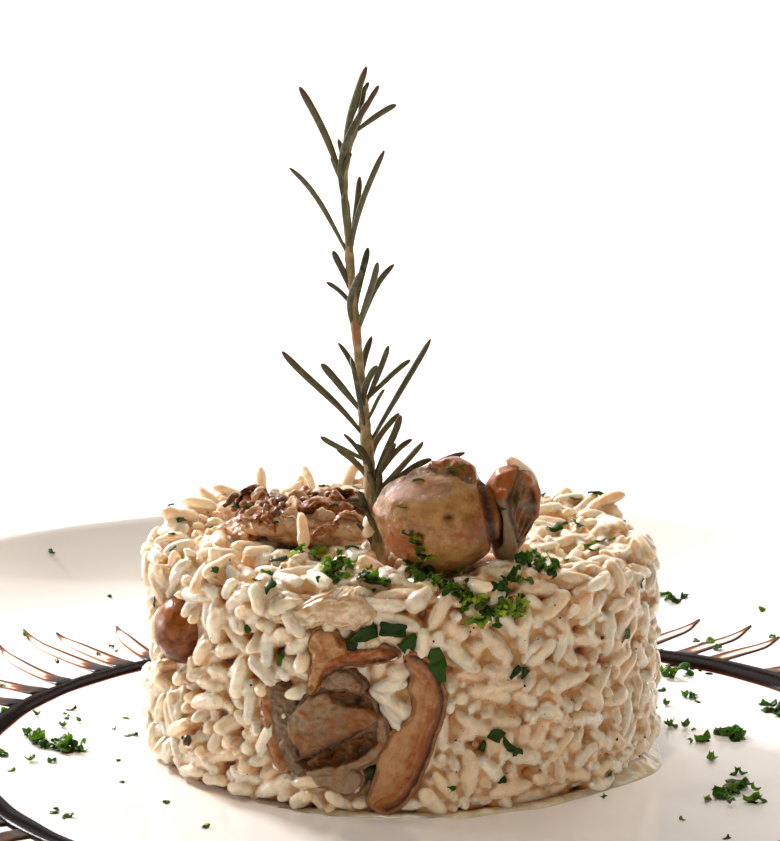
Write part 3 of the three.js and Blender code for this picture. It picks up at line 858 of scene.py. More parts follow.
def mushroom_look(name, pale, middle, brown, dark, wrinkle=0.28, patches=0.6, coat=0.5, ripple=0.18):
    """Cooked mushroom: mottled flesh, browned where the brown value says, and painted shade, near black, in
    its folds.
    """
    look = flesh(name, (0.5, 0.35, 0.25), 0.3, Specular_IOR_Level=0.15)
    body = look.mix(look.span(look.noise(2.6, 4.0), 0.42, 0.62), middle, pale)
    body = look.mix(look.attribute("pale"), body, pale)
    patch = look.span(look.noise(1.6, 5.0), 0.4, 0.68, -0.3, patches)
    body = look.mix(look.span(look.math("ADD", look.attribute("brown"), patch), 0.12, 0.95), body, brown)
    body = look.mix(look.span(look.noise(0.5, 2.0), 0.6, 0.74, 0.0, 0.45), body, brown)
    # The dark value: mostly painted shade in folds, creases and hollows.
    body = look.mix(look.attribute("dark"), body, dark)
    look.set("Base Color", body)
    look.set("Roughness", look.span(look.noise(1.0, 3.0), 0.3, 0.7, 0.22, 0.44))
    look.bump(look.noise(0.75, 5.0, 0.7), wrinkle, 0.9)
    look.wet(coat, 0.08, 1.5, 0.8, ripple)
    return look.material


def onion_look():
    """Stewed onion: glassy pale straw, paler in its folds."""
    look = flesh("stewed_onion", (2.0, 1.3, 0.7), 0.7, Roughness=0.25)
    body = look.mix(look.span(look.noise(2.0, 4.0), 0.4, 0.62), srgb(204, 170, 126), srgb(232, 212, 180))
    body = look.mix(look.attribute("brown"), body, srgb(196, 152, 100))
    look.set("Base Color", body)
    look.bump(look.noise(0.7, 4.0), 0.25, 0.9)
    look.wet(1.0, 0.1, 1.5, 0.8, 0.3)
    return look.material


DENT, PROUD = -1.6, 0.7  # how far a mushroom's surface may go in or out of its solid's


def make_mushroom(node, look, slot, cell, rounds, waves, form):
    """One mushroom piece: the node's solid, evened out, with waves of (size, depth) and its own form."""
    points, faces = evened(node, cell, rounds)
    normals = point_normals(points, faces)
    low, high = points.min(0), points.max(0)
    place = (points - (low + high) / 2.0) / ((high - low) / 2.0)
    lift = sum(depth * rough(points, size, 3, seed=5) for size, depth in waves)
    extra, brown, dark, pale = form(place, points)
    points = points + normals * np.clip(lift + extra, DENT, PROUD)[:, None]
    piece(node + "_flesh", points, faces, look, slot, [node], shares(brown=brown, dark=dark, pale=pale))
    return points, faces


# The form functions take each point's place in the piece's box (-1 to 1) and in the part (mm). They give
# how far it is lifted and how brown, dark and pale it is.

def whole_form(q, p):
    """Torn skin along the top, an orange swelling at the lower left, a pit, and a wet seam at the right."""
    x, z = p[:, 0], p[:, 2]
    torn = rough(p, 2.2, 3, 3)
    fine = rough(p * [0.35, 1.0, 1.6], 0.9, 3, 7)
    front = smooth_step(0.5, 0.1, q[:, 1])
    skin_edge = 66.2 - 0.04 * (x - 6.4) ** 2 + 1.3 * torn
    skin = smooth_step(-0.35, 0.35, z - skin_edge) * front
    skin = skin * smooth_step(14.5, 12.0, x) * smooth_step(-1.0, 1.5, x)
    under = bell(z - skin_edge + 0.7, 0.5) * front * smooth_step(14.0, 12.0, x)
    pit = bell(np.hypot(x - 8.1, (z - 58.6) * 1.4), 0.8) * front
    torn_rim = bell(np.hypot(x - 9.3, z - 58.3), 0.6) * front
    seam = bell(x - 13.9 - 0.2 * (65.2 - z), 0.8) * front
    groove = bell(x - 14.3 - 0.2 * (65.2 - z), 0.5) * front
    swelling = bell(np.hypot((x + 0.9) / 3.4, (z - 52.6) / 5.0), 0.85) * front
    crease = bell(np.abs(x - 2.6) - 0.25 * (z - 52.0), 0.6) * smooth_step(56.5, 54.0, z) * front
    patch = bell(np.hypot((x - 10.3) / 3.4, (z - 55.6) / 1.7), 1.0) * front
    low = bell(np.hypot((x - 9.0) / 5.0, (z - 50.6) / 2.6), 1.0) * front
    high = bell(np.hypot((x - 5.0) / 5.0, (z - 60.0) / 2.6), 1.0)
    lift = 0.6 * skin * (1.0 + 1.2 * torn) - 0.7 * under - 1.2 * pit + 0.5 * torn_rim - 1.0 * seam
    lift = lift + 0.7 * swelling - 0.6 * crease + 0.1 * fine - 1.3 * smooth_step(67.0, 69.5, z)
    brown = 1.1 * skin + 1.25 * swelling + 0.9 * seam + 0.9 * patch * (0.7 + torn)
    brown = brown + 0.4 * smooth_step(10.0, 14.0, x) + 0.45 * smooth_step(50.0, 47.0, z)
    brown = brown + 0.25 * crease - 0.3 * low + 0.12 * fine
    # Painted shade in the pit, in the seam's groove, under the torn skin's edge and over the right side; the
    # back is darker too.
    dark = 0.7 * pit + 0.2 * smooth_step(9.5, 14.0, x) + 0.75 * groove + 0.5 * under + 0.2 * (1.0 - front)
    return lift, brown, dark, 0.6 * low + 0.6 * high + torn_rim + 0.3 * fine


def half_cap_form(q, p):
    """A brown collar at the upper left, a pale band below it, a crease, and the gills of the right half."""
    x, y, z = q.T
    above_waist = p[:, 2] - 60.0
    across = p[:, 0] - 18.2 - np.maximum(0.5 * above_waist, -0.28 * above_waist) + 0.3 * rough(p, 2.4, 2, 5)
    front = smooth_step(0.35, -0.1, y)
    top = smooth_step(-1.2, 1.0, above_waist)
    collar = smooth_step(0.2, -0.7, across) * np.maximum(top, 1.0 - front)
    crease = bell(across - 0.1, 0.35) * front
    band = smooth_step(0.2, -0.5, across) * smooth_step(-3.0, -1.8, across) * front * (1.0 - top)
    turn = np.arctan2(p[:, 0] - 17.6, p[:, 2] - 47.0)
    gills = np.sin(turn * 60.0 + 1.6 * rough(p, 2.4, 2, 8))
    hollow = smooth_step(0.2, 0.9, across) * front * smooth_step(0.98, 0.8, np.hypot(x, z))
    edge = smooth_step(0.84, 0.97, np.hypot(x, z))
    lift = 0.12 * gills * hollow - 0.5 * crease - 0.3 * hollow + 0.5 * edge
    lift = lift + 0.6 * collar * crumpled(p, 3.4, 4)
    brown = 1.3 * collar + 0.8 * edge + 0.35 * hollow * (1.0 + rough(p, 1.6, 3, 4))
    # Dark slits among the gills, painted shade with no relief of their own.
    slit_shade = bell(rough(p * [2.2, 1, 0.6], 2.6, 2, 21) - 0.55, 0.2) * hollow
    # Painted shade in the gill hollow, deeper between the gills, in the crease and in the slits.
    dark = 0.24 * hollow * (0.8 - 0.6 * gills) + 0.6 * crease + 0.5 * slit_shade
    return lift, brown * (1 - 0.8 * band), dark, band


def button_form(q, p):
    """A smooth ball that stands out at its free side, with painted shade below and painted light above."""
    x, y, z = q.T
    lift = 0.25 + 0.45 * smooth_step(0.2, -0.7, x + 0.3 * y)
    # Browner and darker below as painted shade, paler above as painted light.
    brown = 0.1 + 0.8 * smooth_step(0.5, -0.8, z)
    return lift, brown, 0.25 * smooth_step(-0.4, -1.0, z), 0.3 * smooth_step(0, 0.8, z)


def slice_form(q, p):
    """Crumpled browned skin, orange on its folds, with painted shade in its creases."""
    folds = crumpled(p, 3.6, 6)
    small = crumpled(p, 1.5, 9)
    brown = 0.5 * smooth_step(0.3, 0.9, folds) + 0.4 * smooth_step(0.3, 0.9, small)
    # Painted shade in the creases.
    dark = 0.5 * smooth_step(-0.1, -0.9, folds) + 0.3 * smooth_step(-0.2, -0.9, small)
    return 0.5 * folds + 0.3 * small, brown, dark, 0.7 * smooth_step(-0.3, 0.3, folds)


def spline(rows, count):
    """Evenly placed rows along a smooth line through the given rows."""
    rows = np.asarray(rows, float)
    p = np.concatenate([2 * rows[:1] - rows[1:2], rows, 2 * rows[-1:] - rows[-2:-1]])
    s = np.linspace(0, len(rows) - 1.0001, count)
    k = s.astype(int)
    t = (s - k)[:, None]
    a, b, c, d = p[k], p[k + 1], p[k + 2], p[k + 3]
    return 0.5 * (2 * b + (c - a) * t + (2 * a - 5 * b + 4 * c - d) * t**2 + (3 * b - 3 * c + d - a) * t**3)


def strip(rows, rings, sides):
    """A flattened closed strip through rows of [x, y, z, width, thickness, roll]."""
    boxy = 0.85
    line = spline(rows, rings)
    path = line[:, :3]
    out = np.tile([0.0, 0.0, 1.0], (rings, 1))
    tangent = unit(np.gradient(path, axis=0))
    across = unit(np.cross(out, tangent))
    out = np.cross(tangent, across)
    roll = np.radians(line[:, 5:6])
    across, out = across * np.cos(roll) + out * np.sin(roll), out * np.cos(roll) - across * np.sin(roll)
    t = np.linspace(-1.0, 1.0, rings)
    end = np.sqrt(np.clip(1.0 - np.abs(t) ** 7, 0.0, 1.0)).clip(0.04, 1.0)[:, None]
    turn = turns(sides)
    c, s = np.cos(turn)[None], np.sin(turn)[None]
    x = np.sign(c) * np.abs(c) ** boxy * line[:, 3:4] / 2.0 * end
    y = np.sign(s) * np.abs(s) ** boxy * line[:, 4:5] / 2.0 * end
    rim = path[:, None] + across[:, None] * x[..., None] + out[:, None] * y[..., None]
    points = np.concatenate([path[:1], rim.reshape(-1, 3), path[-1:]])
    return points, tube_faces(rings, sides)


def crumpled_strip(rows, grid, folds, depth, fine):
    """A strip with ridges, and how high each point is on them: grid is rings and sides, folds the ridges'
    size and seed, depth their height, and fine the size and depth of a finer relief."""
    points, faces = strip(rows, *grid)
    ridges = crumpled(points, *folds)
    lift = depth * (ridges - 0.2) + fine[1] * rough(points, fine[0], 2, 5)
    return points + point_normals(points, faces) * lift[:, None], faces, ridges


# What lies flush in the drum's side: the outline of each layer as [right, height] on the wall in mm.
OUTLINES = {
    "crescent": [
        [0.5, 36.1], [2.1, 36.3], [4.2, 35.2], [6.1, 33.0], [7.1, 30.4], [7.5, 28.1], [7.1, 25.2],
        [6.1, 22.1], [4.9, 18.7], [3.7, 15.5], [1.8, 11.9], [-0.1, 9.4], [-2.7, 8.1], [-5.4, 9.3],
        [-5.5, 11.1], [-4.8, 12.9], [-4.1, 15.3], [-4.0, 17.6], [-2.9, 19.8], [-1.7, 22.0], [0.2, 23.3],
        [1.6, 24.5], [2.4, 26.3], [2.3, 28.2], [1.6, 30.2], [2.1, 32.0], [1.4, 34.1],
    ],
    "plate": [
        [-17.3, 27.7], [-14.9, 29.0], [-12.6, 28.7], [-11.0, 27.4], [-7.3, 26.7], [-5.2, 26.2],
        [-3.8, 24.8], [-5.2, 23.5], [-7.3, 22.2], [-9.0, 21.0], [-12.2, 19.6], [-15.0, 17.7],
        [-17.4, 16.8], [-18.9, 18.4], [-20.6, 21.8], [-20.0, 24.2], [-18.7, 26.2],
    ],
    "hollow": [
        [-19.1, 16.2], [-16.3, 17.6], [-13.5, 18.6], [-10.4, 20.4], [-7.3, 21.7], [-5.2, 22.5],
        [-3.8, 20.9], [-4.8, 18.9], [-7.3, 17.3], [-9.9, 16.3], [-13.5, 15.5], [-16.8, 15.0],
    ],
    "lip": [
        [-4.8, 25.5], [-3.1, 24.5], [-2.6, 22.7], [-2.9, 20.5], [-4.1, 18.2], [-5.9, 16.7],
        [-9.0, 15.5], [-12.3, 14.5], [-15.9, 13.8], [-17.4, 14.2], [-16.3, 15.1], [-13.5, 15.7],
        [-9.9, 16.7], [-7.3, 17.9], [-5.3, 19.4], [-4.5, 20.9], [-4.8, 22.8], [-4.1, 24.3],
    ],
    "slit": [
        [-14.0, 29.5], [-11.7, 30.0], [-9.0, 29.8], [-7.1, 29.2], [-5.5, 27.8], [-4.5, 26.2],
        [-6.2, 26.0], [-9.0, 26.8], [-11.3, 27.7], [-13.3, 28.5],
    ],
    "layer": [
        [-14.4, 30.2], [-13.5, 32.0], [-11.3, 33.1], [-9.0, 33.0], [-7.4, 31.8], [-6.7, 30.4],
        [-7.6, 29.5], [-9.9, 29.9], [-12.2, 29.6],
    ],
    "lobe": [
        [-16.0, 39.1], [-14.3, 40.3], [-12.2, 40.0], [-11.1, 38.2], [-9.5, 36.6], [-10.4, 34.9],
        [-12.4, 34.4], [-13.6, 32.9], [-14.7, 30.7], [-16.0, 28.6], [-16.8, 30.1], [-16.2, 32.7],
        [-16.0, 35.2], [-16.5, 37.3],
    ],
    "arm": [
        [-14.0, 33.6], [-12.4, 35.3], [-9.2, 36.6], [-6.2, 37.4], [-3.4, 37.5], [-1.2, 36.8],
        [-0.5, 36.1], [-2.4, 35.4], [-4.8, 34.8], [-7.2, 34.2], [-9.3, 34.1], [-11.5, 33.1],
        [-12.9, 32.6],
    ],
    "bits": [
        [-24.3, 28.5], [-22.5, 29.1], [-20.4, 27.8], [-19.8, 25.1], [-20.4, 22.2], [-19.3, 19.4],
        [-18.1, 17.0], [-17.6, 14.6], [-19.5, 14.0], [-21.8, 16.8], [-23.4, 20.0], [-24.2, 24.2],
    ],
    "membrane": [
        [-25.5, 28.7], [-24.5, 28.5], [-24.4, 24.0], [-23.8, 20.5], [-22.6, 17.6], [-21.4, 14.8],
        [-22.4, 14.3], [-24.4, 17.3], [-25.4, 21.2], [-26.0, 25.1],
    ],
    "mush": [
        [-16.5, 14.7], [-12.6, 14.9], [-9.9, 15.8], [-7.6, 15.2], [-7.1, 13.4], [-8.3, 11.3],
        [-11.2, 11.0], [-13.3, 12.1], [-15.5, 12.2],
    ],
    "flap": [
        [-20.7, 42.6], [-18.6, 43.7], [-15.8, 45.0], [-12.5, 45.8], [-9.7, 45.6], [-7.6, 45.3],
        [-5.7, 44.2], [-5.2, 42.9], [-6.9, 41.8], [-9.5, 40.8], [-12.5, 41.0], [-14.7, 41.4],
        [-16.9, 40.7], [-19.5, 40.4], [-21.3, 41.3],
    ],
    "small_flap": [
        [-27.1, 43.6], [-24.6, 44.6], [-21.8, 44.2], [-19.7, 43.6], [-20.1, 41.8], [-22.4, 41.0],
        [-25.4, 41.3], [-27.3, 42.3],
    ],
}

# Each relief's look, slot and node, and its layers, the deepest first: [outline, lift, how torn, how
# crumpled, brown, dark, pale, first and last outline point of a browned edge].
RELIEFS = {
    "chunk_relief": ("grey", "stewed_mushroom", "mushroom_chunk", [
        ["bits", -0.5, 0.5, 0.5, 0.05, 0.3, 0.3, None],
        ["mush", 0.2, 0.3, 0.3, 0.05, 0.0, 0.8, None],
        # The hollow and the slit are darkened as painted shade in their recesses.
        ["hollow", -2.2, 0.4, 1.4, 0.6, 0.4, 0.2, None],
        ["slit", -1.3, 0.4, 0.6, 0.6, 0.4, 0.0, None],
        ["lip", 0.2, 0.45, 0.4, 0.15, 0.0, 0.8, None],
        ["plate", 0.5, 0.6, 0.3, 0.2, 0.0, 0.25, (8, 13)],
    ]),
    "membrane_relief": ("tan", "mushroom_slice", "mushroom_chunk", [
        ["membrane", -0.3, 0.3, 0.3, 0.45, 0.1, 0.2, None],
    ]),
    "grey_layer_relief": ("grey", "stewed_mushroom", "mushroom_fold", [
        ["layer", 0.3, 0.45, 0.35, 0.15, 0.0, 0.6, None],
    ]),
    "fold_relief": ("tan", "mushroom_slice", "mushroom_fold", [
        ["lobe", 0.5, 0.35, 0.45, 0.15, 0.0, 0.5, None],
        ["arm", 0.9, 0.35, 0.35, 0.25, 0.0, 0.3, (6, 11)],
    ]),
    "crescent_relief": ("tan", "mushroom_slice", "mushroom_crescent", [
        ["crescent", -0.45, 0.25, 0.08, 0.0, 0.0, 0.1, (1, 12)],
    ]),
    "onion_relief": ("onion", "rice", "risotto", [
        ["flap", 0.05, 0.6, 0.4, 0.0, 0.0, 0.6, None],
        ["small_flap", 0.1, 0.6, 0.4, 0.0, 0.0, 0.6, None],
    ]),
}


def line_gap(place, line):
    """The distance of each place from an open line of points."""
    a, along = line[:-1], np.diff(line, axis=0)
    to = place[..., None, :] - a
    share = np.clip((to * along).sum(-1) / (along**2).sum(-1), 0, 1)
    return np.linalg.norm(to - share[..., None] * along, axis=-1).min(-1)


def outline_depth(place, outline):
    """How deep each place lies inside a closed outline; less than nought outside it."""
    a, b = outline[:-1], outline[1:]
    x, y = place[..., 0, None], place[..., 1, None]
    rise = np.where(a[:, 1] == b[:, 1], 1e-9, b[:, 1] - a[:, 1])
    crossed = ((a[:, 1] > y) != (b[:, 1] > y)) & (x < a[:, 0] + (y - a[:, 1]) * (b[:, 0] - a[:, 0]) / rise)
    return line_gap(place, outline) * np.where(crossed.sum(-1) % 2 == 1, 1.0, -1.0)


def on_wall(place, lift):
    """Points over the drum's wall at [right, height] places, lifted off it."""
    a = place[..., 0] / DRUM["radius"] - np.pi / 2.0
    r = DRUM["radius"] + lift
    edge = DRUM["top_edge"]
    over = np.clip((place[..., 1] - (WELL_Z + DRUM["height"] - edge)) / edge, 0.0, 1.0)
    r = r - edge * (1.0 - np.sqrt(1.0 - over**2))
    return np.stack([r * np.cos(a), r * np.sin(a), place[..., 1]], -1)


RELIEF = {"cell": 0.19, "margin": 1.1, "floor": -0.8, "depth": -5.0, "rounding": 0.3}


def relief(layers):
    """A patch of the drum's wall with torn layers standing on it: points, triangles and values."""
    cell, margin, floor, rounding = (RELIEF[key] for key in ("cell", "margin", "floor", "rounding"))
    lines = [np.array(OUTLINES[row[0]]) for row in layers]
    low = np.min([line.min(0) for line in lines], 0) - margin
    high = np.max([line.max(0) for line in lines], 0) + margin
    columns, rows = ((high - low) / cell).astype(int) + 1
    place = np.meshgrid(np.linspace(low[0], high[0], columns), np.linspace(low[1], high[1], rows))
    place = np.stack(place, -1)
    solid = on_wall(place, 0.0)
    near = np.full(place.shape[:2], -9.0)
    lift = np.full(place.shape[:2], floor) + 0.3 * rough(solid, 1.5, 2, 4)
    values = np.array([0.5, 0.3, 0.0])[:, None, None] + 0 * lift
    for k, (name, height, torn, crumple, browned, shaded, paled, edge) in enumerate(layers):
        corners = np.array(OUTLINES[name])
        line = spline(np.concatenate([corners, corners[:1]]), 6 * len(corners))
        ragged = rough(solid, 1.9, 3, 40 + k) + 0.5 * rough(solid, 0.6, 2, 45 + k)
        inside = outline_depth(place, line) + torn * ragged
        near = np.maximum(near, inside)
        cover = smooth_step(-0.05, 0.3, inside)
        folds = crumpled(solid * [1, 1, 1.3], 2.6, 50 + k)
        fine = rough(solid, 0.8, 3, 60 + k)
        rounded = 1.0 - np.exp(-np.maximum(inside, 0.0) / 0.7)
        own = height - rounding + rounding * rounded + crumple * (0.8 * folds - 0.2)
        own = own + (0.08 + 0.45 * crumple) * fine
        shade = np.array([browned, shaded, paled])[:, None, None] + 0 * own
        shade[0] += 0.35 * smooth_step(0.1, 0.9, folds) * (crumple > 0.2)
        shade[0] += 0.3 * smooth_step(0.1, 0.6, fine)
        # Painted shade in the creases of the folds.
        shade[1] += 0.5 * smooth_step(0.0, -0.9, folds) * (crumple > 0.4)
        if edge:
            first, last = edge
            corners = corners[first : last + 1]
            rim = line_gap(place, spline(corners, 6 * len(corners)))
            streak = rough(np.stack([rim * 2.2, place[..., 1] * 0.25, 0 * rim], -1), 0.9, 2, 70 + k)
            shade[0] += 0.9 * smooth_step(5.5, 0.3, rim) + 0.5 * streak
            own = own + 0.08 * streak
            shade[1] += 1.0 * bell(rim, 1.0 + 0.2 * fine)
            shade[2] += 0.5 * smooth_step(3.0, 6.0, rim) * (1.0 + streak)
        lift = lift * (1 - cover) + own * cover
        values = values * (1 - cover) + shade * cover
    lift = lift + (RELIEF["depth"] - floor) * smooth_step(-0.5, -margin, near)
    faces = grid_faces(rows, columns)
    faces = faces[near.ravel()[faces].max(1) > -margin]
    used, faces = np.unique(faces, return_inverse=True)
    points = on_wall(place, lift).reshape(-1, 3)[used]
    brown, dark, pale = values.reshape(3, -1)[:, used]
    return points, faces.reshape(-1, 3), shares(brown=brown, dark=dark, pale=pale)


def make_reliefs(looks):
    """The mushroom and onion that lie in the drum's side."""
    meshes = []
    for name, (kind, slot, node, layers) in RELIEFS.items():
        points, faces, values = relief(layers)
        piece(name, points, faces, looks[kind], slot, [node], values)
        meshes.append((points, faces))
    return meshes


# Strips heaped on the slices: [node, brown, dark, pale, height of the folds, rows of [x, y, z, width,
# thickness, roll]].
TOP_STRIPS = {
    "heap_left_fold": ("mushroom_slice_left", 0.6, 0.1, 0.3, 0.7, [
        [-31.0, 3.4, 50.6, 2.6, 1.8, 10], [-28.4, 2.4, 52.2, 4.0, 2.2, 30],
        [-25.4, 0.8, 52.4, 4.2, 2.2, 10], [-22.6, -1.6, 52.0, 3.4, 2.0, -20],
        [-20.8, -4.6, 51.2, 2.4, 1.8, 0],
    ]),
    "heap_body": ("mushroom_slice_middle", 0.2, 0.0, 0.7, 0.7, [
        [-28.6, -9.6, 50.6, 4.0, 2.4, 0], [-24.6, -11.6, 51.6, 6.4, 3.0, 20],
        [-20.4, -12.6, 51.8, 6.8, 3.2, 10], [-16.6, -13.6, 51.4, 5.4, 2.8, -10],
        [-13.6, -14.6, 50.8, 3.6, 2.2, 0],
    ]),
    "heap_band": ("mushroom_slice_middle", 0.8, 0.15, 0.0, 0.6, [
        [-19.8, -8.4, 52.2, 2.4, 1.8, 0], [-16.8, -9.8, 53.4, 3.6, 2.2, 30],
        [-13.6, -9.4, 53.8, 3.8, 2.2, 20], [-11.0, -7.6, 53.4, 3.4, 2.0, 0],
        [-9.6, -5.6, 52.4, 2.2, 1.8, 0],
    ]),
    "heap_back": ("mushroom_slice_back", 0.9, 0.55, 0.0, 0.6, [
        [-20.0, 0.6, 51.6, 3.0, 2.0, 0], [-16.0, 0.4, 52.8, 4.4, 2.4, 20],
        [-12.0, -0.6, 53.2, 4.6, 2.4, 10], [-8.4, -2.0, 52.6, 4.0, 2.2, 0],
        [-5.6, -3.4, 51.4, 2.6, 2.0, 0],
    ]),
    "heap_right": ("mushroom_slice_middle", 0.1, 0.0, 0.9, 0.25, [
        [-13.6, -12.6, 50.6, 4.4, 2.8, 0], [-11.2, -14.2, 51.6, 6.2, 3.4, 10],
        [-8.8, -15.8, 51.2, 5.8, 3.0, 10], [-6.8, -17.6, 50.2, 3.8, 2.2, 0],
    ]),
    "heap_bit": ("mushroom_slice_back", 0.7, 0.3, 0.0, 0.3, [
        [-20.6, 6.4, 50.8, 1.6, 1.2, 0], [-19.0, 6.9, 51.8, 2.2, 1.6, 0],
        [-17.2, 6.7, 51.2, 1.6, 1.2, 0],
    ]),
}


def make_strips(looks):
    """The strips of mushroom that lie on the slices on top."""
    meshes = []
    for name, (node, brown, dark, pale, crumple, rows) in TOP_STRIPS.items():
        points, faces, folds = crumpled_strip(rows, (56, 28), (1.7, 12), crumple, (0.9, 0.12))
        # Browner on the ridges, with painted shade in the creases.
        values = shares(
            brown=brown + 0.5 * smooth_step(0.2, 0.9, folds),
            dark=dark + 0.45 * smooth_step(0.0, -0.9, folds),
            pale=pale + 0 * folds,
        )
        piece(name, points, faces, looks["shreds"], "mushroom_slice", [node], values)
        meshes.append((points, faces))
    return meshes


# Shreds heaped on the slices: where they lie, their sizes, and how brown, dark and pale the three kinds are.
HEAP = {"count": 60, "x": (-32.0, -5.0), "y": (-18.0, 8.0), "sky": 80.0, "drop": 36.0, "rows": 5}
SHRED = {"length": (2.5, 7.5), "width": (1.0, 2.8), "thickness": (0.3, 0.7), "arch": 0.9, "turn": 30.0}
SHRED_KINDS = {
    "share": (0.42, 0.4, 0.18),
    "brown": (0.05, 0.8, 0.9),
    "dark": (0.0, 0.1, 0.6),
    "pale": (0.9, 0.1, 0.0),
}


def heap_top(target, x, y):
    """The height of the heap over a place, or None beside it."""
    hit, _, _, _ = target.ray_cast(Vector((x, y, HEAP["sky"])), Vector((0, 0, -1)), HEAP["drop"])
    return None if hit is None else hit[2]


def shred_rows(random, target, x, y, top):
    """Rows of a shred that arches over the heap from a place on it."""
    heading = random.uniform(-0.9, 0.9) + math.pi * random.integers(2)
    length = random.uniform(*SHRED["length"])
    curl = random.uniform(-0.9, 0.9)
    width = random.uniform(*SHRED["width"])
    roll = random.uniform(-70, 70)
    thickness = random.uniform(*SHRED["thickness"])
    rows = []
    steps = HEAP["rows"] - 1
    for k in range(HEAP["rows"]):
        level = heap_top(target, x, y)
        level = top - 0.8 if level is None else min(level, top + 1.0)
        swell = math.sin(math.pi * k / steps)
        z = level + SHRED["arch"] * swell + random.uniform(-0.2, 0.3)
        rows.append([x, y, z, width * (0.6 + 0.4 * swell), thickness, roll + SHRED["turn"] * k * curl])
        x += length / steps * math.cos(heading + curl * k / 2)
        y += length / steps * math.sin(heading + curl * k / 2)
    return rows


def make_shreds(target, looks):
    """Small torn shreds heaped over the slices on top: some pale and fleshy, some browned."""
    random = np.random.default_rng(12)
    bits, values = [], {"brown": [], "dark": [], "pale": []}
    while len(bits) < HEAP["count"]:
        x, y = random.uniform(*HEAP["x"]), random.uniform(*HEAP["y"])
        top = heap_top(target, x, y)
        if top is None:
            continue
        rows = shred_rows(random, target, x, y, top)
        points, faces, folds = crumpled_strip(rows, (18, 12), (1.3, 15), 0.3, (0.6, 0.1))
        bits.append((points, faces))
        kind = random.choice(3, p=SHRED_KINDS["share"])
        # Browner on the ridges, with painted shade in the creases.
        ridges = (smooth_step(0.3, 0.9, folds), smooth_step(0.0, -0.9, folds), 0 * folds)
        for key, ridge in zip(values, ridges):
            values[key].append(SHRED_KINDS[key][kind] + 0.5 * ridge)
    points, faces = joined(bits)
    values = shares(**{key: np.concatenate(value) for key, value in values.items()})
    nodes = ["mushroom_slice_back", "mushroom_slice_left", "mushroom_slice_middle"]
    piece("heap_shreds", points, faces, looks["shreds"], "mushroom_slice", nodes, values)
    return points, faces


def make_mushrooms():
    """All mushroom pieces; returns their meshes for what lands on them."""
    looks = {
        "browned": mushroom_look(
            "browned_mushroom", srgb(196, 148, 88), srgb(148, 100, 44), srgb(158, 78, 4), srgb(36, 16, 3),
            wrinkle=0.6, patches=0.5, coat=0.8, ripple=0.3,
        ),
        "shreds": mushroom_look(
            "mushroom_shreds", srgb(216, 184, 146), srgb(180, 130, 76), srgb(150, 76, 8), srgb(40, 18, 3),
            patches=0.3,
        ),
        "tan": mushroom_look(
            "mushroom_slice", srgb(190, 144, 96), srgb(168, 114, 56), srgb(154, 80, 18), srgb(40, 14, 4),
            wrinkle=0.12, patches=0.25,
        ),
        "grey": mushroom_look(
            "stewed_mushroom", srgb(156, 130, 100), srgb(114, 90, 62), srgb(142, 82, 24), srgb(14, 10, 6),
            patches=0.3,
        ),
        "gills": mushroom_look(
            "half_cap_gills", srgb(148, 126, 96), srgb(92, 70, 42), srgb(166, 90, 26), srgb(30, 24, 13)
        ),
        "smooth": mushroom_look(
            "button_skin", srgb(152, 94, 46), srgb(132, 74, 28), srgb(94, 46, 10), srgb(50, 24, 8),
            wrinkle=0.02, coat=0.3,
        ),
        "onion": onion_look(),
    }
    broad = ((7.0, 0.3), (2.4, 0.1), (0.9, 0.06))
    gilled = ((5.0, 0.3), (1.6, 0.12))
    folded = ((5.0, 0.4), (1.8, 0.15))
    solids = [
        make_mushroom(node, looks[kind], slot, cell, rounds, waves, form)
        for node, kind, slot, cell, rounds, waves, form in (
            ("mushroom_whole", "browned", "browned_mushroom", 0.34, 12, broad, whole_form),
            ("mushroom_half_cap", "gills", "browned_mushroom", 0.25, 10, gilled, half_cap_form),
            ("mushroom_slice_back", "shreds", "mushroom_slice", 0.32, 6, folded, slice_form),
            ("mushroom_slice_left", "shreds", "mushroom_slice", 0.32, 6, folded, slice_form),
            ("mushroom_slice_middle", "shreds", "mushroom_slice", 0.32, 6, folded, slice_form),
            ("mushroom_button", "smooth", "browned_mushroom", 0.45, 40, ((6.0, 0.2),), button_form),
        )
    ]
    reliefs = make_reliefs(looks)
    strips = make_strips(looks)
    heap = ray_target(*joined(solids[2:5] + strips))
    return [*solids, *reliefs, *strips, make_shreds(heap, looks)]


# ---------------------------------------------------------------- rosemary

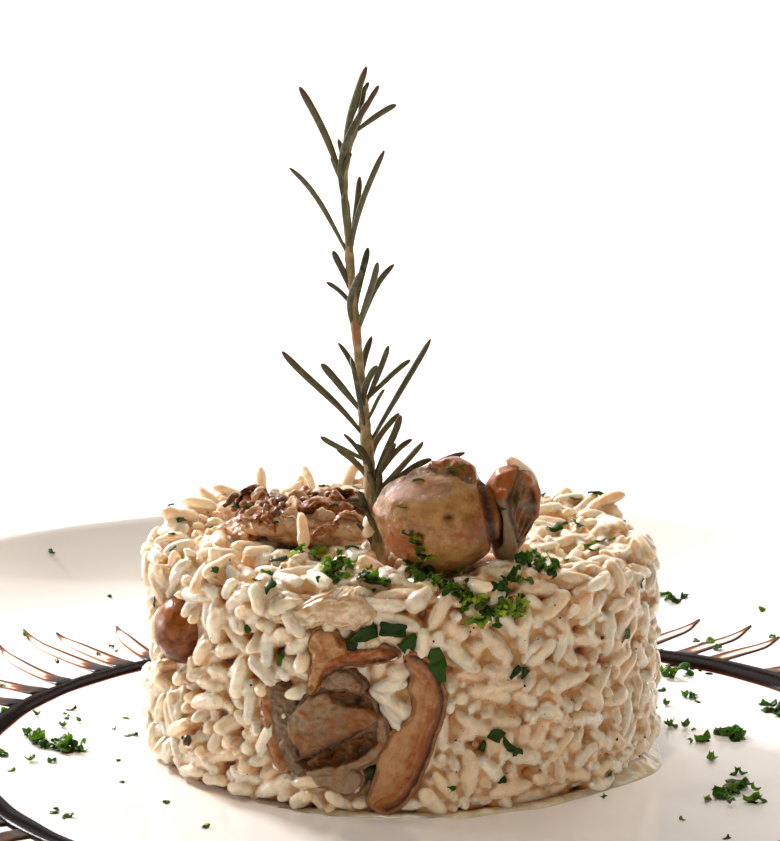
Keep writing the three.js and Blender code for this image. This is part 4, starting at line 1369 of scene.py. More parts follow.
# Needles as [height of the foot, length, lean to the right, lean to the front], in mm and degrees.
NEEDLES = [
    [-1, 11, -14, 14], [0, 13, 6, 12], [1, 12, -4, 18], [2, 13, 12, 8], [2.5, 11, -20, 4],
    [3.5, 13, 2, 6], [4, 12, 16, 16], [5, 12, -9, 10], [-0.5, 9, -30, 10], [6, 7, -42, 15],
    [9.5, 19.5, 60, 0], [9.5, 14.6, 48, 12], [11.5, 14, 43, 5], [12, 10.5, -38, -10],
    [12.5, 12, 40, -8], [12.5, 11, -15, 25], [13, 14.8, 21, 5], [13, 10.6, 26, 18],
    [13.5, 11.6, -25, 15], [14, 10, 8, -45], [15, 12.8, 24, -12], [17.5, 10.3, -60, 5],
    [20, 23.6, 29, 5], [21, 19, -17, -6], [21.5, 22.4, -42, 0], [22, 16, -10, 10], [24, 9, 25, 20],
    [24, 16.5, 4, -12], [24.5, 10, -4, -44], [26, 13, -37, 12], [26, 12, 12, 28], [27, 12.8, 21, 0],
    [28, 12, 48, -5], [39.5, 15.5, 27, 0], [41, 13, 4, 22], [41, 14, 16, 10], [42, 14.5, 8, -6],
    [42.5, 9, 2, -40], [44, 8.4, -39, 10], [46, 10.5, -20, 0], [52, 22.8, 15, 5], [53.5, 20.4, -33, 5],
    [54, 13, -3, 18], [55, 14, 8, -10], [56, 10, 0, -38], [64.5, 22, -21, 5], [64.5, 20.6, 14, 12],
    [66.5, 8, 9, 28], [66.5, 7, -20, 20], [67.5, 9, -8, -34], [70.5, 18.6, 11, 8], [71.5, 14.5, 15, -8],
    [75.5, 10.5, 26, 0], [76, 9.5, 56, 0], [78, 7, 10, -10],
]


def stem_at(height):
    """The stem's axis: it leans left as it rises, and its tip turns back to the right."""
    h = np.asarray(height, float)
    lean = 6.2 * (np.maximum(h, 0.0) / 64.0) ** 0.85
    turn = 0.018 * np.maximum(h - 64.0, 0.0) ** 2
    return np.stack([SPRIG_FOOT[0] - lean + turn, SPRIG_FOOT[1] + 0.02 * h, SPRIG_TOP_Z + h], -1)


def tube(axis, radii, sides):
    """A closed tube round a line of points that rises along Z."""
    turn = turns(sides)
    ring = np.stack([np.cos(turn), np.sin(turn), 0 * turn], -1)
    rows = axis[:, None] + radii[..., None] * ring[None]
    points = np.concatenate([axis[:1], rows.reshape(-1, 3), axis[-1:]])
    return points, tube_faces(len(axis), sides)


def make_stem():
    """The woody stem, thicker where needles leave it and uneven with bark."""
    sides = 12
    height = np.linspace(-STEM["depth"], STEM["height"], 150)
    axis = stem_at(height)
    radius = np.interp(height, [0.0, STEM["height"]], [STEM["foot_radius"], STEM["tip_radius"]])
    for foot in {row[0] for row in NEEDLES}:
        radius = radius + 0.12 * bell(height - foot, 0.8)
    turn = turns(sides)
    around = np.stack([np.cos(turn), np.sin(turn), 0 * turn], -1) * 2.0
    bark = rough(axis[:, None] * [1, 1, 0.25] + around[None], 1.0, 2, seed=2)
    return tube(axis, radius[:, None] * (1.0 + 0.08 * bark), sides)


def make_needle(random, foot, length, right, front):
    """A narrow blunt leaf, slim at its foot, with rolled edges and a pale groove along its upper face."""
    t, u, faces = ball_grid(20, 12)
    t = (t + 1.0) / 2.0
    width = random.uniform(1.05, 1.4) * min(1.0, 0.5 + length / 26.0)
    blunt = np.clip((t - 0.84) / 0.16, 0, 1) ** 2.2
    outline = np.minimum(0.45 + 1.1 * t, 1.0) * np.sqrt(1.0 - blunt)
    x = np.cos(u) * outline * width / 2.0
    y = np.sin(u) * outline * width * 0.3
    groove = bell(np.cos(u), 0.35) * (np.sin(u) > 0)
    y = y - 0.14 * width * groove * outline
    roll = random.uniform(-0.9, 0.9)
    x, y = x * math.cos(roll) - y * math.sin(roll), x * math.sin(roll) + y * math.cos(roll)
    bow = random.uniform(-0.03, 0.11) * length
    x = x - np.sign(right) * 4.0 * bow * t * (1.0 - t)
    x = x + random.uniform(-0.02, 0.02) * length * np.sin(5.0 * t)
    y = y + random.uniform(-0.05, 0.05) * length * np.sin(3.0 * t)
    way = np.array([math.sin(math.radians(right)), -math.sin(math.radians(front)), 0.0])
    way[2] = math.sqrt(max(1.0 - way @ way, 0.0))
    turn = np.array(Vector((0, 0, 1)).rotation_difference(Vector(way)).to_matrix())
    points = np.stack([x, y, t * length - 0.5], -1) @ turn.T + stem_at(foot)
    return points, faces, groove, t


def stem_look():
    """Woody bark, reddish and greenish in places."""
    look = Look("rosemary_stem", Roughness=0.5)
    body = look.mix(look.span(look.noise(1.2, 4.0), 0.35, 0.65), srgb(150, 118, 70), srgb(192, 164, 118))
    body = look.mix(look.span(look.noise(5.0, 2.0), 0.5, 0.62, 0.0, 0.8), body, srgb(150, 84, 40))
    body = look.mix(look.span(look.noise(7.0, 2.0), 0.52, 0.66, 0.0, 0.8), body, srgb(112, 112, 66))
    look.set("Base Color", body)
    look.bump(look.noise(0.4, 4.0), 0.12, 0.8)
    return look.material


def needle_look():
    """Dull olive needles with a paler groove, some of them gone brown."""
    look = flesh("rosemary_needle", (0.5, 0.6, 0.2), 0.2, Roughness=0.38)
    body = look.mix(look.attribute("shade"), srgb(58, 60, 34), srgb(98, 96, 58))
    body = look.mix(look.span(look.noise(2.4, 4.0), 0.48, 0.66, 0.0, 0.8), body, srgb(78, 48, 34))
    body = look.mix(look.span(look.noise(1.2, 4.0), 0.5, 0.7, 0.0, 0.6), body, srgb(124, 126, 84))
    body = look.mix(look.math("MULTIPLY", look.attribute("groove"), 0.55), body, srgb(150, 154, 116))
    body = look.mix(look.attribute("browned"), body, srgb(92, 54, 36))
    look.set("Base Color", body)
    look.bump(look.noise(0.35, 3.0), 0.08, 0.7)
    return look.material


def make_rosemary():
    """The sprig: its stem, and all its needles as one piece."""
    random = np.random.default_rng(21)
    points, faces = make_stem()
    piece("rosemary_stem", points, faces, stem_look(), "rosemary", ["rosemary_sprig"])
    bits, shades, grooves, browns = [], [], [], []
    for row in NEEDLES:
        points, faces, groove, t = make_needle(random, *row)
        bits.append((points, faces))
        shades.append(random.uniform(0.0, 1.0) + 0 * t)
        grooves.append(groove)
        browns.append(random.choice([0.0, 0.3, 0.9]) * smooth_step(0.75, 1.0, t) + smooth_step(0.2, 0.0, t))
    shade, groove, browned = (np.concatenate(value) for value in (shades, grooves, browns))
    values = shares(shade=shade, groove=groove, browned=browned)
    piece("rosemary_needles", *joined(bits), needle_look(), "rosemary", ["rosemary_sprig"], values)


# ---------------------------------------------------------------- marks in the picture

CAMERA = {"place": (-0.00205, -0.67186, 0.20347), "down": 11.40, "lens": 160.5}
PICTURE = {"width": 780, "height": 841, "focus": 3750.0}  # the frame that pixels are given in
SIGHT, OUTSIDE = 900.0, 60.0  # how far the camera's rays go, and how far out the rays to the side start


def pixel_way(across, down):
    """The direction in which the camera sees a pixel."""
    tip = math.radians(CAMERA["down"])
    ahead = np.array([0.0, math.cos(tip), -math.sin(tip)])
    up = np.array([0.0, math.sin(tip), math.cos(tip)])
    x = (across - PICTURE["width"] / 2.0) / PICTURE["focus"]
    y = (down - PICTURE["height"] / 2.0) / PICTURE["focus"]
    return Vector(unit(ahead + x * np.array([1.0, 0.0, 0.0]) - y * up))


def seen(target, across, down):
    """Where the camera sees a target at a pixel, or None."""
    hit, _, _, _ = target.ray_cast(Vector(CAMERA["place"]) / MM, pixel_way(across, down), SIGHT)
    return hit


def on_side(target, angle, height):
    """Where a level ray towards the drum's axis meets a target, or None."""
    way = Vector((-math.cos(angle), -math.sin(angle), 0.0))
    hit, _, _, _ = target.ray_cast(Vector((0, 0, WELL_Z + height)) - OUTSIDE * way, way, OUTSIDE)
    return hit


# ---------------------------------------------------------------- glaze

# Strokes that the photo shows: [angle of the root, angle of the tip, reach]. The others are spaced evenly.
SEEN_STROKES = [
    [145.1, 138.8, 113.8], [137.4, 134.1, 117.4], [133.6, 131.3, 113.6], [128.6, 124.4, 111.7],
    [59.9, 58.4, 111.2], [53.4, 52.2, 111.6], [48.6, 47.7, 109.2],
]
GLAZE_STROKES = {"spacing": 5.8, "width": 3.9, "root": 84.5, "tip": (108.0, 117.0)}
STROKE_ARCS = ((66.0, 124.0, 1.0), (151.0, 402.0, 3.0))  # from, to and the lean of each stroke, in degrees
# Short dashes of glaze inside the ring: [pixel across, pixel down, length, width].
GLAZE_DASHES = [
    [673, 666, 3.2, 1.4], [662, 662, 1.4, 1.0], [692, 669, 1.0, 1.4], [709, 674, 1.6, 1.2],
    [700, 671, 0.7, 0.8],
]


def plate_height(r):
    """The height of the plate's upper face at a distance from its middle."""
    inner = PLATE["radius"] - 2.0 * PLATE["lip"]
    t = np.clip((r - PLATE["well"]) / (inner - PLATE["well"]), 0.0, 1.0)
    return WELL_Z + PLATE["rise"] * t ** PLATE["curve"]


def make_ring():
    """The drawn line of glaze: a low bead that swells and wanders."""
    segments, sides = 512, 16
    a = turns(segments)
    right = bell(a - math.radians(40.0), 0.42)
    swell = 1.0 + 0.1 * np.sin(5 * a + 1) + 0.08 * np.sin(9 * a) + 0.04 * np.sin(31 * a) + 0.8 * right
    middle = RING["radius"] + RING["wander"] * np.sin(3 * a + 0.6) + 2.4 * right
    turn = turns(sides)
    across = np.cos(turn)[None] * (RING["width"] / 2.0 * swell)[:, None]
    lift = np.maximum(np.sin(turn), -0.1)[None] * (RING["height"] * swell)[:, None]
    r = middle[:, None] + across
    x = RING["centre"][0] + r * np.cos(a)[:, None]
    y = RING["centre"][1] + r * np.sin(a)[:, None]
    z = plate_height(np.hypot(x, y)) + lift
    thin = np.broadcast_to(np.abs(np.cos(turn))[None] ** 8, x.shape)
    faces = grid_faces(segments, sides, wrap=True)
    seam = grid_faces(2, sides, wrap=True)
    seam = np.where(seam >= sides, seam - sides, seam + (segments - 1) * sides)
    return np.stack([x, y, z], -1).reshape(-1, 3), np.concatenate([faces, seam])[:, ::-1], thin.ravel()


def make_stroke(random, foot, end, tip):
    """One feathered stroke: a narrow film between two raised lines that meet in a pointed tip."""
    rows, columns = 15, 9
    t = np.linspace(0.0, 1.0, rows)[:, None]
    v = np.array([-1.0, -0.9, -0.74, -0.5, 0.0, 0.5, 0.74, 0.9, 1.0])[None]
    r = GLAZE_STROKES["root"] + (tip - GLAZE_STROKES["root"]) * t
    a = np.radians(foot + (end - foot) * t**1.3)
    rounded = np.clip(1.0 - np.clip((t - 0.6) / 0.4, 0, 1) ** 2, 0.12, 1)
    half = GLAZE_STROKES["width"] / 2.0 * random.uniform(0.9, 1.1) * (1.25 - 0.35 * t) * rounded
    x = RING["centre"][0] + r * np.cos(a) - v * half * np.sin(a)
    y = RING["centre"][1] + r * np.sin(a) + v * half * np.cos(a)
    left = math.cos(math.radians(end)) < 0
    wide = np.where(v < 0, 0.2 if left else 0.28, 0.1 if left else 0.28) + 0.26 * (1.0 - t) ** 3
    heavy = np.where(v < 0, 1.0, 0.5 if left else 0.95)
    line = np.clip(bell(np.abs(v) - 0.82, wide) * heavy + bell(t - 1.0, 0.08), 0.0, 1.0)
    root = smooth_step(0.34, 0.1, t + 0.16 * np.abs(v)) + 0 * v
    thick = np.clip(0.5 * line + 0.9 * root, 0.03, 1.0)
    z = plate_height(np.hypot(x, y)) + 0.03 + 0.55 * thick * (1.0 - np.abs(v) ** 8)
    top = np.stack([x, y, z], -1).reshape(-1, 3)
    bottom = top.copy()
    bottom[:, 2] = plate_height(np.hypot(top[:, 0], top[:, 1])) - 0.05
    film = np.clip(1.0 - line * (0.74 + 0.26 * (1.0 - t)) - root, 0.0, 1.0).ravel()
    return np.concatenate([top, bottom]), slab_faces(rows, columns)[:, ::-1], np.concatenate([film, film])


def make_dash(across, down, length, width):
    """A short dash of glaze on the plate, at a pixel of the picture."""
    way = np.array(pixel_way(across, down))
    eye = np.array(CAMERA["place"]) / MM
    x, y, _ = eye + way * (WELL_Z - eye[2]) / way[2]
    t, turn, faces = ball_grid(9, 10)
    round_off = np.sqrt(np.maximum(1.0 - t**2, 0.0))
    x = x + t * length / 2.0
    y = y + round_off * np.cos(turn) * width / 2.0 - 0.12 * length * t
    z = plate_height(np.hypot(x, y)) + 0.3 * round_off * np.sin(turn)
    return np.stack([x, y, z], -1), faces


def ring_look():
    """Glaze that is nearly black, and red brown where it is thin."""
    look = Look("dark_glaze", Roughness=0.4, Specular_IOR_Level=0.0)
    look.wet(0.14, 0.2, 1.5, 6.0, 0.05)
    body = look.mix(look.span(look.attribute("thin"), 0.6, 1.0), srgb(20, 11, 9), srgb(96, 38, 14))
    body = look.mix(look.span(look.noise(3.0, 3.0), 0.5, 0.7, 0.0, 0.25), body, srgb(48, 32, 26))
    look.set("Base Color", body)
    look.bump(look.noise(4.0, 3.0), 0.12, 0.4)
    return look.material


def stroke_look():
    """A film of glaze on white china: near black where it is thick, then red brown, amber and white."""
    look = Look("thin_glaze", Roughness=0.3, Specular_IOR_Level=0.1)
    body = look.ramp(
        look.attribute("film"), (0.0, srgb(16, 7, 4)), (0.3, srgb(50, 17, 4)), (0.55, srgb(104, 42, 8)),
        (0.72, srgb(176, 100, 36)), (0.86, srgb(250, 242, 232)),
    )
    body = look.mix(look.span(look.noise(5.0, 2.0), 0.5, 0.7, 0.0, 0.12), body, srgb(206, 130, 74))
    look.set("Base Color", body)
    return look.material


def make_glaze():
    """The ring with its dashes, and the strokes drawn out of it."""
    random = np.random.default_rng(3)
    ring, ring_faces, thin = make_ring()
    points, faces = joined([(ring, ring_faces), *(make_dash(*row) for row in GLAZE_DASHES)])
    thin = np.append(thin, np.zeros(len(points) - len(ring)))
    piece("glaze_ring", points, faces, ring_look(), "balsamic", ["plate"], {"thin": thin})
    strokes = list(SEEN_STROKES)
    for low, high, lean in STROKE_ARCS:
        for foot in np.arange(low, high, GLAZE_STROKES["spacing"]):
            foot = foot + random.uniform(-0.6, 0.6)
            strokes.append([foot, foot - lean, random.uniform(*GLAZE_STROKES["tip"])])
    bits, films = [], []
    for row in strokes:
        points, faces, film = make_stroke(random, *row)
        bits.append((points, faces))
        films.append(film)
    film = np.concatenate(films)
    piece("glaze_strokes", *joined(bits), stroke_look(), "balsamic", ["plate"], {"film": film})


# ---------------------------------------------------------------- parsley and pepper

# Parsley that shows on the risotto: [pixel across, pixel down, length in mm, heading in the picture].
PARSLEY_MARKS = [
    [352, 645, 4.6, 62], [364, 634, 5.6, 20], [393, 629, 5.0, -6], [413, 648, 5.2, -55],
    [436, 658, 4.2, -84], [439, 671, 4.4, -72], [367, 774, 4.8, 10], [515, 673, 2.8, 40],
    [525, 675, 2.6, 65], [485, 745, 2.8, 60], [495, 734, 3.2, -30], [507, 745, 3.4, -55],
    [516, 752, 2.4, -5], [625, 636, 2.8, 85], [607, 775, 2.6, 20], [280, 660, 2.4, 75],
    [193, 793, 2.4, 35], [640, 583, 2.0, 60], [452, 788, 1.6, 20], [503, 780, 1.8, 70],
    [248, 628, 1.6, -50], [155, 601, 2.0, -20], [173, 549, 1.6, 5], [172, 535, 1.6, 0],
    [171, 506, 1.4, 20], [161, 508, 1.8, -60], [214, 571, 1.8, -30], [240, 508, 3.4, -75],
    [233, 502, 2.6, -40], [247, 506, 2.0, 30], [272, 576, 4.2, 5], [278, 560, 3.2, 20],
    [268, 588, 3.4, 25], [258, 582, 2.0, 40], [352, 547, 2.6, -25], [598, 496, 4.2, 30],
    [576, 500, 2.6, 10], [563, 524, 1.8, 60], [580, 526, 1.8, 50], [588, 548, 2.6, -40],
    [594, 552, 2.2, 70], [600, 543, 2.8, 20], [612, 540, 1.8, 0], [420, 480, 3.0, -10],
    [456, 470, 3.2, -35], [402, 509, 2.0, 30], [418, 545, 3.0, 80], [424, 556, 2.8, -30],
    [410, 562, 2.6, 60], [343, 492, 2.2, 10], [330, 482, 2.0, 20], [333, 505, 2.0, 0],
    [518, 500, 1.6, 80], [503, 509, 1.4, 60], [275, 522, 1.4, 40],
]

# Heaps of parsley on the risotto: [pixel across, pixel down, spread in mm, flakes].
PARSLEY_HEAPS = [
    [416, 543, 1.2, 7], [424, 561, 1.8, 12], [316, 552, 1.6, 5], [297, 553, 1.4, 4],
    [335, 573, 2.6, 16], [348, 566, 2.2, 10], [324, 577, 1.8, 7], [372, 581, 2.2, 11],
    [385, 585, 1.2, 4], [418, 573, 2.4, 11], [432, 578, 2.4, 12], [446, 588, 2.0, 9],
    [460, 590, 2.2, 12], [470, 602, 2.0, 11], [478, 616, 1.6, 8], [497, 610, 2.2, 11],
    [508, 612, 1.8, 8], [522, 600, 1.6, 6], [512, 581, 2.0, 9], [503, 586, 1.4, 5], [526, 566, 1.2, 5],
    [542, 562, 2.2, 11], [552, 570, 1.4, 5], [532, 560, 1.2, 4], [456, 572, 1.4, 4],
]

# Parsley on the plate: [x, y, spread, flakes], in mm.
PARSLEY_PLATE = [
    [-68.9, 57.1, 0.3, 1], [-78.0, 39.0, 0.6, 2], [-69.2, 2.6, 1.6, 5], [-66.8, 0.0, 1.4, 4],
    [-64.2, -3.6, 2.0, 8], [-61.6, -5.4, 1.8, 8], [-59.6, -5.9, 0.8, 3], [-49.8, 4.6, 0.8, 2],
    [-63.2, 15.5, 0.5, 1], [-51.8, -12.4, 0.3, 1], [-50.3, -25.5, 0.3, 1], [-70.3, -18.7, 0.3, 1],
    [-72.8, -8.5, 0.6, 2], [-63.8, -13.0, 0.3, 1], [-67.3, -12.4, 0.3, 1], [-60.5, -43.4, 0.6, 2],
    [-58.4, -45.8, 0.5, 1], [-41.3, -38.2, 0.6, 2], [-34.1, -52.1, 0.6, 2], [-74.1, 104.6, 0.6, 2],
    [56.5, 98.0, 1.6, 5], [76.0, 85.1, 0.5, 1], [62.1, 72.8, 1.0, 3], [53.4, 45.7, 1.8, 9],
    [50.7, 35.4, 0.5, 1], [56.5, 30.3, 1.2, 3], [50.5, 24.6, 0.4, 1], [51.9, 10.7, 1.0, 3],
    [54.0, 8.7, 0.8, 2], [61.2, 4.6, 1.8, 9], [62.8, 2.0, 1.4, 5], [55.8, 0.6, 1.2, 4],
    [57.1, -11.1, 1.0, 3], [61.5, -20.6, 1.0, 3], [58.2, -29.8, 1.6, 6], [60.4, -32.4, 1.8, 8],
    [57.6, -35.2, 1.4, 4], [53.8, -37.6, 1.0, 3], [62.2, -38.2, 1.6, 5], [48.9, -48.1, 0.4, 1],
    [54.8, -58.3, 0.6, 2], [70.9, 21.1, 1.2, 4], [72.5, 18.0, 0.8, 3], [35.8, -35.2, 1.0, 2],
    [76.5, 73.6, 0.5, 1],
]


def flake_shapes(random, count, curl):
    """Small chopped pieces of leaf as (count, points, 3), about 1 long, and their triangles."""
    rows, columns = 5, 7
    u = np.tile(np.linspace(-1.0, 1.0, columns), rows)[None]
    v = np.repeat(np.linspace(-1.0, 1.0, rows), columns)[None]

    def pick(low, high):
        return random.uniform(low, high, (count, 1))

    phase = pick(0, 6.28)
    half = pick(0.22, 0.42) * (1.0 + pick(-0.45, 0.45) * u - pick(0.0, 0.35) * u**2)
    jag = 1.0 - pick(0.05, 0.3) * np.abs(np.sin(2.6 * u + phase)) * np.abs(v)
    x = 0.5 * u * (1.0 - pick(0.0, 0.22) * np.abs(np.sin(2.1 * v + phase)))
    y = v * half * jag + pick(-0.12, 0.12) * u**2
    z = curl * (pick(-0.5, 0.5) * u**2 + pick(-0.5, 0.5) * v**2 + 0.14 * np.sin(3.2 * u + phase) * v)
    return np.stack([x, y, z], -1), slab_faces(rows, columns)


def laid_flakes(random, places, normals, lengths, headings, curl, tilt):
    """Flakes laid at places: along their heading, tilted out of the surface by up to tilt."""
    count = len(places)
    shapes, faces = flake_shapes(random, count, curl)
    normal = unit(normals + tilt * random.normal(size=(count, 3)))
    along = unit(headings - (headings * normal).sum(1, keepdims=True) * normal)
    across = np.cross(normal, along)
    x, y, z = (shapes[..., k : k + 1] for k in range(3))
    flat = along[:, None] * x + across[:, None] * y + normal[:, None] * z
    flat = flat * lengths[:, None, None] + places[:, None]
    half_thick = 0.07 * normal[:, None]
    return np.concatenate([flat + half_thick, flat - half_thick], 1), faces


def parsley_look():
    look = flesh("parsley", (0.4, 0.8, 0.2), 0.15, Roughness=0.32, Specular_IOR_Level=0.2)
    body = look.ramp(
        look.attribute("shade"), (0.0, srgb(22, 40, 8)), (0.45, srgb(46, 76, 14)), (0.8, srgb(88, 122, 24)),
        (1.0, srgb(158, 178, 46)),
    )
    body = look.mix(look.span(look.noise(0.8, 3.0), 0.4, 0.7, 0.0, 0.5), body, srgb(36, 62, 12))
    look.set("Base Color", body)
    look.bump(look.noise(0.4, 3.0), 0.06, 0.6)
    return look.material


# How many flakes are scattered behind, where the photo shows none, and how many specks all round.
SCATTERED = {"side": 70, "top": 40, "plate": 60, "specks": 70}


def risotto_flakes(random, target):
    """Flakes on the risotto, where the camera sees them and scattered behind, as rows of (place, length,
    heading, height in a heap)."""
    rows = []
    for across, down, length, heading in PARSLEY_MARKS:
        h = math.radians(heading)
        rows.append((seen(target, across, down), length, (math.cos(h), 0.2, math.sin(h)), 0.0))
    for across, down, spread, flakes in PARSLEY_HEAPS:
        for _ in range(flakes):
            shift = 5.0 * spread * random.normal(size=2) * [0.6, 0.4]
            hit = seen(target, across + shift[0], down + shift[1])
            if hit is not None:
                stack = random.uniform(0.0, 0.5 + 0.04 * flakes)
                rows.append((hit, random.uniform(1.1, 3.1), random.normal(size=3), stack))
    for _ in range(SCATTERED["side"]):
        angle = math.radians(random.uniform(10.0, 170.0))
        hit = on_side(target, angle, random.uniform(2.0, 38.0))
        if hit is not None:
            rows.append((hit, random.uniform(1.2, 4.4), random.normal(size=3), 0.0))
    for _ in range(SCATTERED["top"]):
        a, r = random.uniform(0.0, 6.28), 42.0 * math.sqrt(random.uniform(0, 1))
        sky = Vector((r * math.cos(a), abs(r * math.sin(a)), 140.0))
        hit, _, _, _ = target.ray_cast(sky, Vector((0, 0, -1)))
        if hit is not None and hit[2] < 60.0:
            rows.append((hit, random.uniform(1.2, 4.0), random.normal(size=3), 0.0))
    return [row for row in rows if row[0] is not None]


def make_risotto_parsley(random, look, target):
    """Single flakes that lie flat, and curled ones that stand in heaps."""
    place, length, heading, stack = (np.array(column) for column in zip(*risotto_flakes(random, target)))
    loose = stack > 0
    _, normal = drum_wall(place)
    place = place + (0.12 + 0.06 * length * ~loose + stack)[:, None] * normal
    flakes = (place, normal, length, heading)
    flat, faces = laid_flakes(random, *(value[~loose] for value in flakes), 0.35, 0.15)
    heap, _ = laid_flakes(random, *(value[loose] for value in flakes), 0.8, 0.6)
    shade = np.concatenate([
        np.repeat(random.uniform(0.0, 0.55, len(flat)), flat.shape[1]),
        np.repeat(random.uniform(0.1, 1.0, len(heap)), heap.shape[1]),
    ])
    points, faces = joined([copies(flat, faces), copies(heap, faces)])
    piece("parsley_on_risotto", points, faces, look, "parsley", ["risotto"], {"shade": shade})


def make_plate_parsley(random, look):
    """Flakes on the plate, single and in heaps, where the photo shows them and scattered behind."""
    places, lengths = [], []
    for x, y, spread, flakes in PARSLEY_PLATE:
        heaped = flakes > 3
        for k in range(flakes):
            px, py = x + spread * random.normal() * 0.8, y + spread * random.normal() * 0.8
            places.append((px, py, plate_height(math.hypot(px, py)) + 0.25 + 0.18 * k * heaped))
            lengths.append(random.uniform(1.2, 3.2) * (1.15 if heaped else 0.8))
    for _ in range(SCATTERED["plate"]):
        a, r = random.uniform(0.15, math.pi - 0.15), random.uniform(52.0, 118.0)
        places.append((r * math.cos(a), r * math.sin(a), plate_height(r) + 0.25))
        lengths.append(random.uniform(0.7, 2.4))
    places = np.array(places)
    up = np.tile([0.0, 0.0, 1.0], (len(places), 1))
    headings = random.normal(size=places.shape)
    flat, faces = laid_flakes(random, places, up, np.array(lengths), headings, 0.8, 0.3)
    low = plate_height(np.hypot(flat[..., 0], flat[..., 1])) + 0.02
    flat[..., 2] = np.maximum(flat[..., 2], low)
    shade = np.repeat(random.uniform(0.1, 0.8, len(flat)), flat.shape[1])
    piece("parsley_on_plate", *copies(flat, faces), look, "parsley", ["plate"], {"shade": shade})


def make_parsley(target):
    random = np.random.default_rng(17)
    look = parsley_look()
    make_risotto_parsley(random, look, target)
    make_plate_parsley(random, look)


# Dark specks that show on the risotto: [pixel across, pixel down, size in mm].
SPECK_MARKS = [
    [187, 741, 2.0], [183, 738, 1.1], [602, 638, 0.9], [617, 739, 0.6], [645, 737, 0.55],
    [571, 700, 0.4], [470, 632, 0.5], [560, 618, 0.45], [606, 668, 0.4], [540, 770, 0.5],
    [230, 560, 0.4], [205, 690, 0.4],
]


def make_specks(target):
    """Pepper and burnt crumbs on the rice, where the camera sees them and scattered round the side."""
    random = np.random.default_rng(23)
    t, turn, faces = ball_grid(5, 6)
    ball = np.stack([np.sqrt(np.maximum(1.0 - t**2, 0.0)) * f(turn) for f in (np.cos, np.sin)] + [t], -1)
    hits = [(seen(target, across, down), size) for across, down, size in SPECK_MARKS]
    for _ in range(SCATTERED["specks"]):
        angle, height = random.uniform(0.0, 2 * math.pi), random.uniform(2.0, 38.0)
        hits.append((on_side(target, angle, height), random.uniform(0.25, 0.55)))
    lumps = []
    for hit, size in hits:
        if hit is not None:
            lump = ball * random.uniform(0.7, 1.0, 3) * size / 2.0
            uneven = rough(lump + np.array(hit), 0.5 * size, 2, 3)[:, None]
            lumps.append((lump * (1.0 + 0.5 * uneven) + np.array(hit), faces))
    look = Look("pepper", Roughness=0.4)
    body = look.mix(look.span(look.noise(0.4, 2.0), 0.4, 0.65), srgb(24, 16, 10), srgb(92, 60, 34))
    look.set("Base Color", body)
    look.bump(look.noise(0.2, 2.0), 0.05, 0.5)
    piece("pepper_specks", *joined(lumps), look.material, "rice", ["risotto"])


# Angles in degrees and lengths in mm; bulges as (angle, reach, half width in degrees).
SEEP = {
    "from": -118.0, "to": 28.0, "inner": 45.5, "reach": 0.15, "corner": -22.0, "corner_reach": 2.6,
    "bulges": ((-76.0, 0.9, 6.0), (-58.0, 0.7, 5.0)),
}


def make_seep():
    """The thin cream that has run out from under the drum, widest at its right-hand corner."""
    rows, columns = 200, 8
    degrees = np.linspace(SEEP["from"], SEEP["to"], rows)
    a = np.radians(degrees)
    place = np.stack([DRUM["radius"] * np.cos(a), DRUM["radius"] * np.sin(a), 0 * a], -1)
    wander = rough(place, 7.0, 3, seed=41)
    reach = SEEP["reach"] * (1.0 + 1.1 * wander)
    reach = reach + SEEP["corner_reach"] * bell(degrees - SEEP["corner"], 13.0)
    for angle, bulge, width in SEEP["bulges"]:
        reach = reach + bulge * bell(degrees - angle, width)
    ends = smooth_step(0.0, 12.0, degrees - SEEP["from"]) * smooth_step(0.0, 12.0, SEEP["to"] - degrees)
    outer = DRUM["radius"] - 1.2 + np.maximum(reach + 0.8, 0.2) * ends
    t = np.linspace(0.0, 1.0, columns)[None]
    r = SEEP["inner"] + (outer[:, None] - SEEP["inner"]) * t
    x, y = r * np.cos(a)[:, None], r * np.sin(a)[:, None]
    fine = rough(np.stack([x, y, 0 * x], -1), 1.6, 3, seed=43)
    corner = bell(degrees - SEEP["corner"], 14.0)[:, None]
    lift = (0.6 + 0.25 * fine + (2.4 * (1.0 - t) + 0.5 * fine) * corner) * (1.0 - t**3)
    top = np.stack([x, y, WELL_Z + 0.02 + np.maximum(lift, 0.02) * ends[:, None]], -1)
    bottom = np.stack([x, y, np.full(x.shape, WELL_Z - 0.05)], -1)
    points = np.concatenate([top.reshape(-1, 3), bottom.reshape(-1, 3)])
    look = flesh("thin_cream", (2.2, 1.4, 0.8), 0.7, Roughness=0.2)
    body = look.mix(look.span(look.noise(2.2, 4.0), 0.4, 0.65), srgb(240, 220, 190), srgb(222, 190, 148))
    look.set("Base Color", body)
    look.bump(look.noise(0.8, 4.0), 0.15, 0.7)
    look.wet(1.0, 0.06, 1.5, 1.0, 0.25)
    faces = slab_faces(rows, columns)
    piece("thin_cream_at_the_foot", points, faces, look.material, "rice", ["risotto"])


# ---------------------------------------------------------------- studio

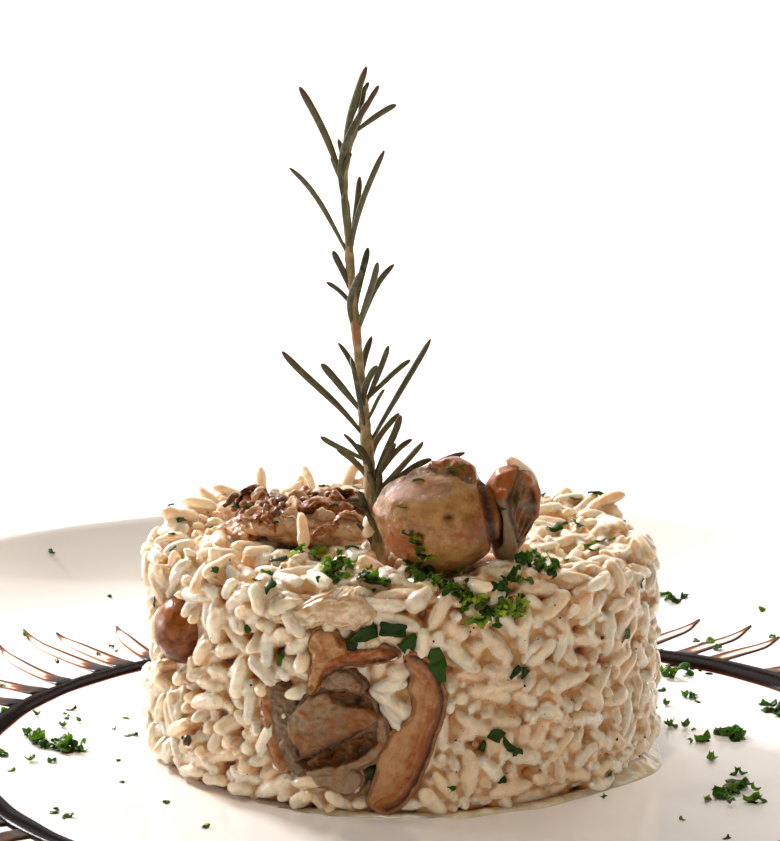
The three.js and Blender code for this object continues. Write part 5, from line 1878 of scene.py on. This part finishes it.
# Lights as (name, place, target, size, power, colour), in metres and watts.
DISH = (0.0, 0.0, 0.03)
LIGHTS = [
    ("key", (-0.58, 0.66, 0.54), DISH, (0.16, 0.16), 14.0, (1.0, 0.985, 0.98)),
    ("window", (-1.1, 0.35, 0.16), DISH, (0.14, 0.3), 7.0, (0.97, 0.98, 1.0)),
    ("back", (0.0, 1.2, 1.1), (0.0, 0.3, 0.0), (1.8, 0.8), 11.0, (1.0, 0.985, 0.97)),
    ("overhead", (-0.05, -0.16, 0.85), DISH, (0.08, 0.08), 1.9, (1.0, 0.92, 0.82)),
    ("glints", (0.3, -1.2, 0.3), DISH, (0.09, 0.09), 1.5, (1.0, 0.82, 0.64)),
]
WORLD = {"colour": (1.0, 0.76, 0.58, 1.0), "strength": 0.11}
STAGE = {"half": 6.0, "wall": 1.7, "mirrored": 0.5, "height": 3.0}  # metres; the high wall isn't mirrored


def make_camera():
    data = bpy.data.cameras.new("camera")
    data.lens = CAMERA["lens"]
    data.sensor_width = 36.0
    data.clip_start = 0.01
    camera = bpy.data.objects.new("camera", data)
    camera.location = CAMERA["place"]
    camera.rotation_euler = (math.radians(90.0 - CAMERA["down"]), 0.0, 0.0)
    bpy.context.scene.collection.objects.link(camera)
    bpy.context.scene.camera = camera


def area_light(name, place, target, size, power, colour):
    data = bpy.data.lights.new(name, "AREA")
    data.shape = "RECTANGLE"
    data.size, data.size_y = size
    data.energy = power
    data.color = colour
    lamp = bpy.data.objects.new(name, data)
    lamp.location = place
    lamp.rotation_euler = (Vector(target) - Vector(place)).to_track_quat("-Z", "Y").to_euler()
    bpy.context.scene.collection.objects.link(lamp)


def stage_plane(name, corners, material):
    """A flat part of the studio, with four corners in metres."""
    mesh = bpy.data.meshes.new(name)
    mesh.from_pydata(corners, [], [(0, 1, 2, 3)])
    mesh.materials.append(material)
    obj = bpy.data.objects.new(name, mesh)
    bpy.context.scene.collection.objects.link(obj)
    return obj


def make_studio():
    """White surroundings, with the light from behind and from the left."""
    scene = bpy.context.scene
    scene.view_settings.view_transform = "Standard"
    scene.world = bpy.data.worlds.new("studio")
    scene.world.use_nodes = True
    background = scene.world.node_tree.nodes["Background"]
    background.inputs["Color"].default_value = WORLD["colour"]
    background.inputs["Strength"].default_value = WORLD["strength"]
    for row in LIGHTS:
        area_light(*row)
    half, wall, mirrored = STAGE["half"], STAGE["wall"], STAGE["mirrored"]
    look = Look("pale_floor", Roughness=0.6)
    look.set("Base Color", look.mix(look.noise(300.0, 1.0), (0.93, 0.93, 0.93, 1), (0.95, 0.95, 0.95, 1)))
    corners = [(-half, -half, 0), (half, -half, 0), (half, half, 0), (-half, half, 0)]
    stage_plane("floor", corners, look.material)
    glow = (1.0, 0.99, 0.98, 1.0)
    white = Look("white_backdrop", Roughness=0.8, Emission_Color=glow, Emission_Strength=1.0)
    for name, low, high in (("backdrop", 0.0, mirrored), ("backdrop_above", mirrored, STAGE["height"])):
        corners = [(-half, wall, low), (half, wall, low), (half, wall, high), (-half, wall, high)]
        stage_plane(name, corners, white.material).visible_glossy = name == "backdrop"


make_camera()
make_studio()
make_plate()
room = Room()
rice = make_rice(room)
sauce = make_sauce(*rice)
mushrooms = make_mushrooms()
make_rosemary()
make_glaze()
make_seep()
surface = ray_target(*joined([rice[:2], sauce, *mushrooms]))
make_parsley(surface)
make_specks(surface)
